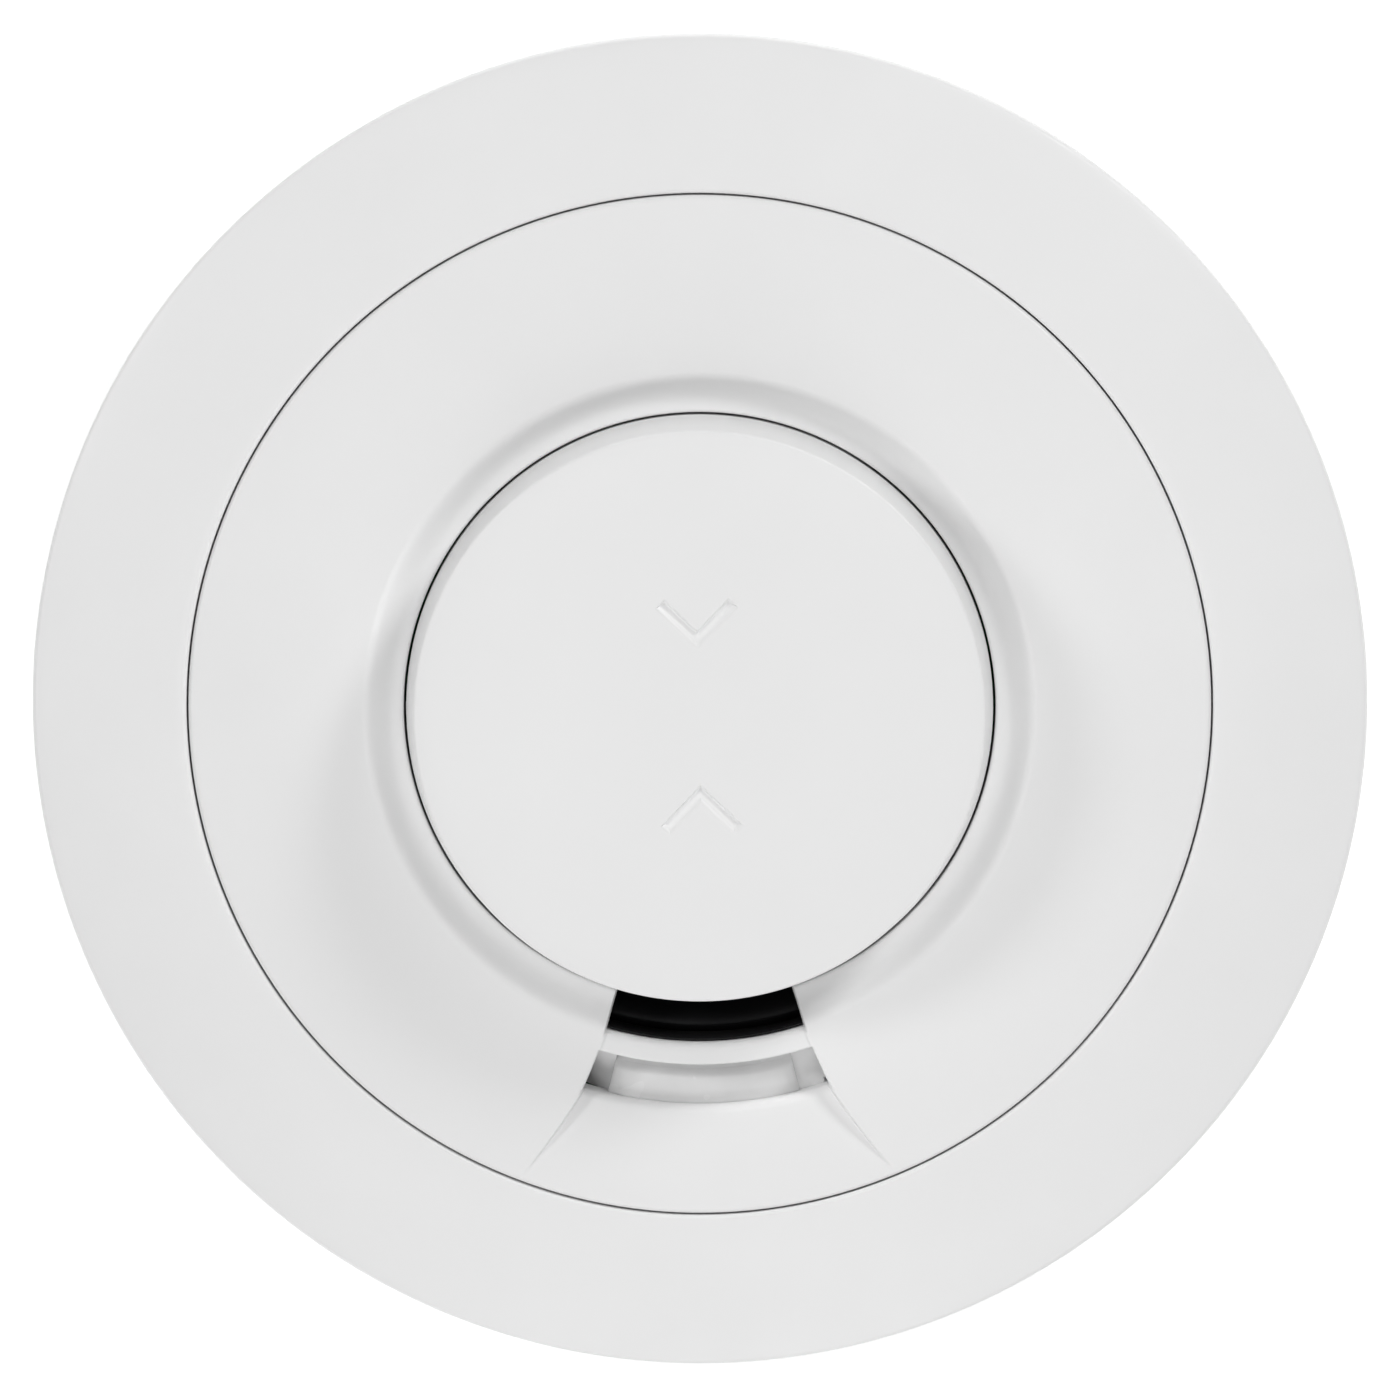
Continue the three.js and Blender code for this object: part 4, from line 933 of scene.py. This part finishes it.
def rear_housing():
    """A stepped tray with a flange, and slots all round for the smoke."""
    floor_z, inside_z, skin = HOUSING_FLOOR_Z, HOUSING_INSIDE_Z, HOUSING_SKIN
    foot_r, wall_r, flange_r, centre_r = 52.0, 55.6, 61.8, 30.0
    step_z, slot_low, slot_high, flange_z = 6.6, 8.4, 11.4, 12.4
    inner_foot_r, inner_wall_r, inner_step_z = foot_r - 1.3, wall_r - skin, step_z + 1.2
    profile = [
        (foot_r, floor_z), (foot_r, step_z), (wall_r, step_z), (wall_r, slot_low),
        (wall_r, slot_high), (wall_r, flange_z), (flange_r, flange_z),
        (flange_r, flange_z + skin), (inner_wall_r, flange_z + skin), (inner_wall_r, slot_high),
        (inner_wall_r, slot_low), (inner_wall_r, inner_step_z), (inner_foot_r, inner_step_z),
        (inner_foot_r, inside_z), (centre_r, inside_z), (centre_r, floor_z),
    ]
    slots = [(120 + 15 * k) % 360 for k in range(21)]
    wall = slotted(profile, slot_low, slot_high, slots, 5.0)
    shell = new_piece("rear_housing_shell", "white_housing", wall, "rear_housing")
    low, high = floor_z - 1, floor_z + 3
    holes = [pillar(3.2, low, high, place) for place in SCREW_PLACES]
    holes.append(pillar(1.7, low, high, polar(*PIN_SPOT)))
    bevel(carve(shell, *holes), 0.2)
    lap, gap = 0.2, 0.02  # the centre plate laps the shell and lies just inside its faces
    centre = turned([(0.0, floor_z), (centre_r + lap, floor_z + gap),
                     (centre_r + lap, inside_z - gap), (0.0, inside_z)])
    parts = {
        "rear_housing_centre": [centre],
        "bayonet_lugs": [arc_block(foot_r - 0.4, 54.4, angle, 6, floor_z + 0.2, inside_z)
                         for angle in BAYONET_ANGLES],
        "screw_bosses": [post(SCREW_BOSS, place) for place in SCREW_PLACES],
        "board_standoffs": [post(STANDOFF, place) for place in STANDOFF_PLACES],
        "cell_cradle": cell_cradle(),
    }
    for name, shapes in parts.items():
        bevel(new_piece(name, "white_housing", merged(*shapes), "rear_housing"), 0.15)


def pin_groove():
    """The sloping groove that lets the power pin down while the head is turned to unlock."""
    start, flat_start, end, deepest = 197.7, 213.7, 218.3, 0.8
    inner, outer = PIN_SPOT[0] - 2.6, PIN_SPOT[0] + 2.6

    def floor_of_groove(r, angle):
        azimuth = angle + CHANNEL_ANGLE + 360
        return float(np.interp(azimuth, [start, flat_start], [BASE_THICKNESS, deepest]))

    angles = [a - CHANNEL_ANGLE - 360 for a in (start, *np.linspace(200, flat_start, 6), end)]
    return polar_solid([inner, outer], angles, BASE_THICKNESS + 1, floor_of_groove)


def mounting_base():
    """The flat base: a plate with screw slots and a cable hole, and three bayonet hooks."""
    edge, past, head_seat = 0.6, 2.0, 1.2
    profile = [(0.0, 0.0), (BASE_R - edge, 0.0), (BASE_R, edge), (BASE_R, BASE_THICKNESS),
               (0.0, BASE_THICKNESS)]
    plate = new_piece("mounting_base_plate", "white_housing", turned(profile), "mounting_base",
                      body="base")
    top = BASE_THICKNESS + past
    holes = [pillar(6.0, -past, top, sides=64), pin_groove()]
    for angle in (0, 90, 180, 270):
        for low, length, width in ((-past, 14.0, 4.5), (head_seat, 18.5, 9.0)):
            outline = rounded_box(width, length, width / 2, 6)
            holes.append(plan_block(outline, low, top, polar(30.0, angle), angle))
    bevel(carve(plate, *holes), 0.2)
    low, high = BASE_THICKNESS - 0.2, 6.2
    inner, stem_r, outer = 52.6, 54.8, 56.8
    hooks = {  # inner and outer radius, turn from the hook's middle, half-angle, foot, facets
        "bayonet_stems": (stem_r, outer, 0, 7, low, 10),
        "bayonet_lips": (inner, stem_r + 0.4, 0, 7, high - 1.3, 10),
        "bayonet_stops": (inner, outer, -7.9, 1, low, 3),
    }
    for name, (r0, r1, turn, half, foot, count) in hooks.items():
        blocks = [arc_block(r0, r1, a + turn, half, foot, high, count) for a in BAYONET_ANGLES]
        piece = new_piece(name, "white_housing", merged(*blocks), "mounting_base", body="base")
        bevel(piece, 0.2)


# --- springs and screen


def return_springs():
    """Three compression springs under the button, with closed ends."""
    low, high = 22.3, 33.3
    coil_r, wire_r, turns, steps = 1.8, 0.3, 8, 16
    heights = []
    for part in np.linspace(0, 1, turns * steps + 1):
        eased = 0.35 * smooth_step(part) + 0.65 * part  # closer together towards the ends
        heights.append(low + wire_r + (high - low - 2 * wire_r) * eased)
    for number, angle in enumerate(BAYONET_ANGLES, 1):
        wire = swept(helix(polar(21.6, angle), coil_r, steps, heights), wire_r, 8)
        spring = new_piece(f"return_spring_coil_{number}", "steel_parts", wire,
                           f"return_spring_{number}")
        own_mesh(spring)


def insect_screen():
    """A woven wire screen between two bands, all round the smoke chamber."""
    lowest, highest = node_box("insect_screen")
    low, high = lowest.z, highest.z
    radius = highest.x - 0.3
    band, wire_r = 0.8, 0.09
    uprights, hoops = 120, 9

    def hoop(r0, r1, z0, z1):
        return turned([(r0, z0), (r1, z0), (r1, z1), (r0, z1)], 120)

    wires = [hoop(radius - 0.1, radius + 0.28, z, z + band) for z in (low, high - band)]
    for k in range(uprights):
        place = polar(radius, 360 * (k + 0.5) / uprights)
        wires.append(pillar(wire_r, low + 0.1, high - 0.1, place, 6))
    for z in np.linspace(low, high, hoops + 2)[1:-1]:
        wires.append(hoop(radius - wire_r, radius + wire_r, z - wire_r, z + wire_r))
    new_piece("insect_screen_weave", "screen_metal", merged(*wires), "insect_screen")


# --- electronics


def standing(name, node, slot, profile, spot):
    """A round part that stands on the board, from its (r, z) profile above the board."""
    lifted = [(r, PART_FOOT_Z + z) for r, z in profile]
    new_piece(name, slot, post(lifted, polar(*spot), 48), node)


def capacitor(number, radius, height):
    """An electrolytic can in its sleeve, with a crimped groove."""
    edge, groove, crown = 0.5, 0.25, 0.15
    profile = [(0.0, 0.0), (radius - groove, 0.0), (radius, groove), (radius, 1.0),
               (radius - groove, 1.3), (radius - groove, 1.6), (radius, 1.9),
               (radius, height - edge), (radius - crown, height - crown),
               (radius - edge, height), (radius - edge - 0.1, height - crown),
               (0.0, height - crown)]
    standing(f"capacitor_can_{number}", f"capacitor_{number}", "component_black", profile,
             CAPACITOR_SPOTS[number - 1])


def choke():
    """The sounder's coil: a bobbin with a turn of wire in every groove."""
    radius, height, flange, wire_r, depth = 4.5, 6.0, 0.7, 0.16, 0.5
    profile = [(0.0, 0.0), (radius, 0.0), (radius, flange)]
    for k in range(int((height - 2 * flange) / (2 * wire_r))):
        middle = (radius - depth, flange + wire_r * (2 * k + 1))
        profile += arc(middle, wire_r, -90, 90, 5)
    profile += [(radius, height - flange), (radius, height), (0.0, height)]
    standing("sounder_coil_bobbin", "sounder_coil", "component_black", profile, COIL_SPOT)


def status_led():
    """A small domed diode with its collar."""
    lens, collar, shoulder = 1.5, 1.9, 1.5
    dome = arc((0.0, shoulder), lens, 0, 90, 8)
    profile = [(0.0, 0.0), (collar, 0.0), (collar, 0.7), (lens, 0.8), *dome]
    standing("status_led_lens", "status_led", "milky_plastic", profile, LED_SPOT)


def microcontroller():
    """The flat square chip: a bevelled body and eight bent legs on every side."""
    angle, place = 45.0, polar(*CHIP_SPOT)
    body = plan_block(rounded_box(6.8, 6.8, 0.2), PART_FOOT_Z + 0.15, PART_FOOT_Z + 1.2, place,
                      angle)
    bevel(new_piece("microcontroller_body", "component_black", body, "microcontroller"), 0.12)
    legs = []
    per_side, pitch, leg_r = 8, 0.78, 0.13
    bend = [(3.3, 0.65), (3.6, 0.65), (3.72, leg_r), (4.0, leg_r)]
    for side in range(4):
        c, s = polar(1.0, 90 * side + angle)
        for k in range(per_side):
            along = (k - (per_side - 1) / 2) * pitch
            path = [(place[0] + c * out - s * along, place[1] + s * out + c * along,
                     PART_FOOT_Z + up) for out, up in bend]
            legs.append(swept(path, leg_r, 6))
    new_piece("microcontroller_legs", "steel_parts", merged(*legs), "microcontroller")


def lithium_cell():
    """The cell in its shrunk sleeve: rounded shoulders, and a flat pole at each end."""
    radius, half = 8.5, 16.75
    neck_r, round_r = 7.9, 0.6
    profile = [(0.0, 0.15 - half), (6.6, 0.15 - half), (6.8, -half)]
    profile += arc((neck_r, round_r - half), round_r, -90, 0, 6)
    profile += [(radius, half - 2.0), (radius - 0.2, half - 1.3), (radius - 0.8, half - 1.0),
                (6.2, half - 1.0), (6.0, half - 1.3), (3.6, half - 1.3), (3.3, half - 0.3),
                (3.0, half), (0.0, half)]
    vertices, faces = turned(profile, 96)
    lying = [(z, CELL_Y + y, CELL_Z - x) for x, y, z in vertices]
    new_piece("lithium_cell_sleeve", "cell_sleeve", (lying, faces), "lithium_cell")


def screws(kind, places, slot_angles, head_r, shank_r, seat, crown, tip):
    """Pan-head screws with straight slots. Each shank is threaded from its tip to its seat."""
    way = 1 if crown > seat else -1  # upwards if the head is at the top
    core = shank_r * 0.8
    profile = [(0.0, tip), (core * 0.5, tip), (core, tip + way * 0.8), (core, seat),
               (head_r - 0.05, seat), (head_r, seat + way * 0.3),
               (head_r - 0.3, crown - way * 0.1), (head_r - 0.8, crown), (0.0, crown)]
    slot_width, slot_depth, pitch, steps = 0.8, 0.5, 0.8, 14
    slot_low, slot_high = sorted((crown - way * slot_depth, crown + way))
    length = abs(seat - tip) - 1.6
    heights = tip + way * (0.8 + np.linspace(0, length, int(length / pitch * steps) + 1))
    for number, (place, angle) in enumerate(zip(places, slot_angles), 1):
        name, node = f"{kind}_head_{number}", f"{kind}_{number}"
        outline = rounded_box(2.6 * head_r, slot_width, 0.1)
        slot = plan_block(outline, slot_low, slot_high, place, angle)
        carve(new_piece(name, "steel_parts", post(profile, place), node), slot)
        ridge = swept(helix(place, core, steps, heights), shank_r - core, 6)
        new_piece(name + "_thread", "steel_parts", ridge, node)


def board_details():
    """Small chip parts, and the solder joints of the standing parts."""
    bodies, caps, joints = [], [], []
    length, width, cap, corner = 2.0, 1.25, 0.35, 0.05
    low, high = BOARD_TOP_Z, BOARD_TOP_Z + 0.6
    body, body_end = (rounded_box(x, width, corner) for x in (length - 2 * cap, cap))
    for k in range(14):
        place = polar(29.5 + 2.2 * math.sin(5 * k), 182 + 10.5 * k + 4 * math.sin(3 * k))
        turn = 90 * (k % 2)
        bodies.append(plan_block(body, low, high, place, turn))
        for side in (-1, 1):
            end = polar(side * (length - cap) / 2, turn, place)
            caps.append(plan_block(body_end, low, high + 0.02, end, turn))
    cone = [(0.0, 6.4), (0.3, 6.6), (0.7, 7.1), (1.0, 7.3), (0.0, 7.3)]
    for r, angle in (COIL_SPOT, *CAPACITOR_SPOTS, LED_SPOT, SWITCH_SPOT):
        for side in (-1, 1):
            joints.append(post(cone, polar(r + 1.3 * side, angle), 16))
    new_piece("chip_resistors", "component_black", merged(*bodies))
    new_piece("chip_resistor_ends", "steel_parts", merged(*caps))
    new_piece("solder_joints", "steel_parts", merged(*joints))


# --- assembly

for part in frame["record"]["subparts"]:
    paint(frame["nodes"][part["node"]], part["material_slot"])

for build in (trim_ring, front_cover, recess_tray, test_button, light_guide, inlet_duct,
              rear_housing, mounting_base, return_springs, insect_screen):
    build()
capacitor(1, 4.0, 10.0)
capacitor(2, 3.2, 7.0)
choke()
status_led()
microcontroller()
lithium_cell()
screws("housing_screw", SCREW_PLACES, SCREW_ANGLES, head_r=2.6, shank_r=1.4, seat=4.7, crown=3.3,
       tip=18.0)
screws("board_screw", STANDOFF_PLACES, STANDOFF_ANGLES, head_r=2.3, shank_r=1.1, seat=9.3,
       crown=10.7, tip=5.4)
board_details()


# --- floor, light and camera

VIEW_WIDTH = 136.3  # mm of the ring's plane that fit across the picture
VIEW_DISTANCE = 3000.0
AIM_Z = 19.0  # height of the point on the axis that the camera looks at
VIEW_TILT = 5.6  # degrees away from straight above
VIEW_AZIMUTH = 85.7  # direction in which the camera is off the axis
UP_AZIMUTH = 88.6  # direction on the part that is up in the picture
SENSOR_WIDTH = 36.0


def direction(azimuth, elevation):
    """Unit vector towards an azimuth and elevation in degrees."""
    flat, z = polar(1.0, elevation)
    return Vector((*polar(flat, azimuth), z))


def floor():
    """A pale floor, with a faint glow that keeps it near-white."""
    glow = {"Emission Color": (1, 1, 1, 1), "Emission Strength": 0.45}
    finish = Finish("studio_floor", {"Roughness": 0.8, **glow})
    finish.colour(finish.noise(6.0), grey(0.87), grey(0.89))
    half = 4.0
    mesh = bpy.data.meshes.new("floor")
    corners = [(-half, -half, 0), (half, -half, 0), (half, half, 0), (-half, half, 0)]
    mesh.from_pydata(corners, [], [(0, 1, 2, 3)])
    mesh.materials.append(finish.material)
    obj = add_object("floor", mesh)
    obj.location.z = -0.0001  # just clear of the part's back


def softbox(name, azimuth, elevation, power, size):
    """A square soft light that faces the part."""
    distance = 1.6
    away = direction(azimuth, elevation)
    data = bpy.data.lights.new(name, "AREA")
    data.size = size
    data.energy = power
    light = add_object(name, data)
    light.location = away * distance
    light.rotation_euler = away.to_track_quat("Z", "Y").to_euler()


def dark_world():
    """No light from all round: the softboxes and the floor give all of it."""
    world = bpy.data.worlds.new("studio")
    world.use_nodes = True
    world.node_tree.nodes["Background"].inputs["Strength"].default_value = 0.0
    bpy.context.scene.world = world


def camera():
    """A long lens nearly straight above the face."""
    back = direction(VIEW_AZIMUTH, 90 - VIEW_TILT)
    up = direction(UP_AZIMUTH, 0)
    up = (up - back * up.dot(back)).normalized()
    right = up.cross(back)
    data = bpy.data.cameras.new("view")
    data.sensor_width = SENSOR_WIDTH
    data.lens = SENSOR_WIDTH * VIEW_DISTANCE / VIEW_WIDTH
    data.clip_end = 20.0
    obj = add_object("view", data)
    obj.matrix_world = Matrix((right, up, back)).transposed().to_4x4()
    obj.location = Vector((0, 0, MM * AIM_Z)) + back * MM * VIEW_DISTANCE
    bpy.context.scene.camera = obj


floor()
softbox("key_right", 48.0, 31.0, 10.6, 0.3)
softbox("key_left", 156.0, 38.0, 6.8, 0.3)
softbox("overhead", 88.0, 80.0, 9.0, 1.5)
softbox("front_fill", 270.0, 35.0, 15.4, 1.5)
dark_world()
camera()
view_settings = bpy.context.scene.view_settings
view_settings.view_transform = "Standard"
view_settings.look = "None"
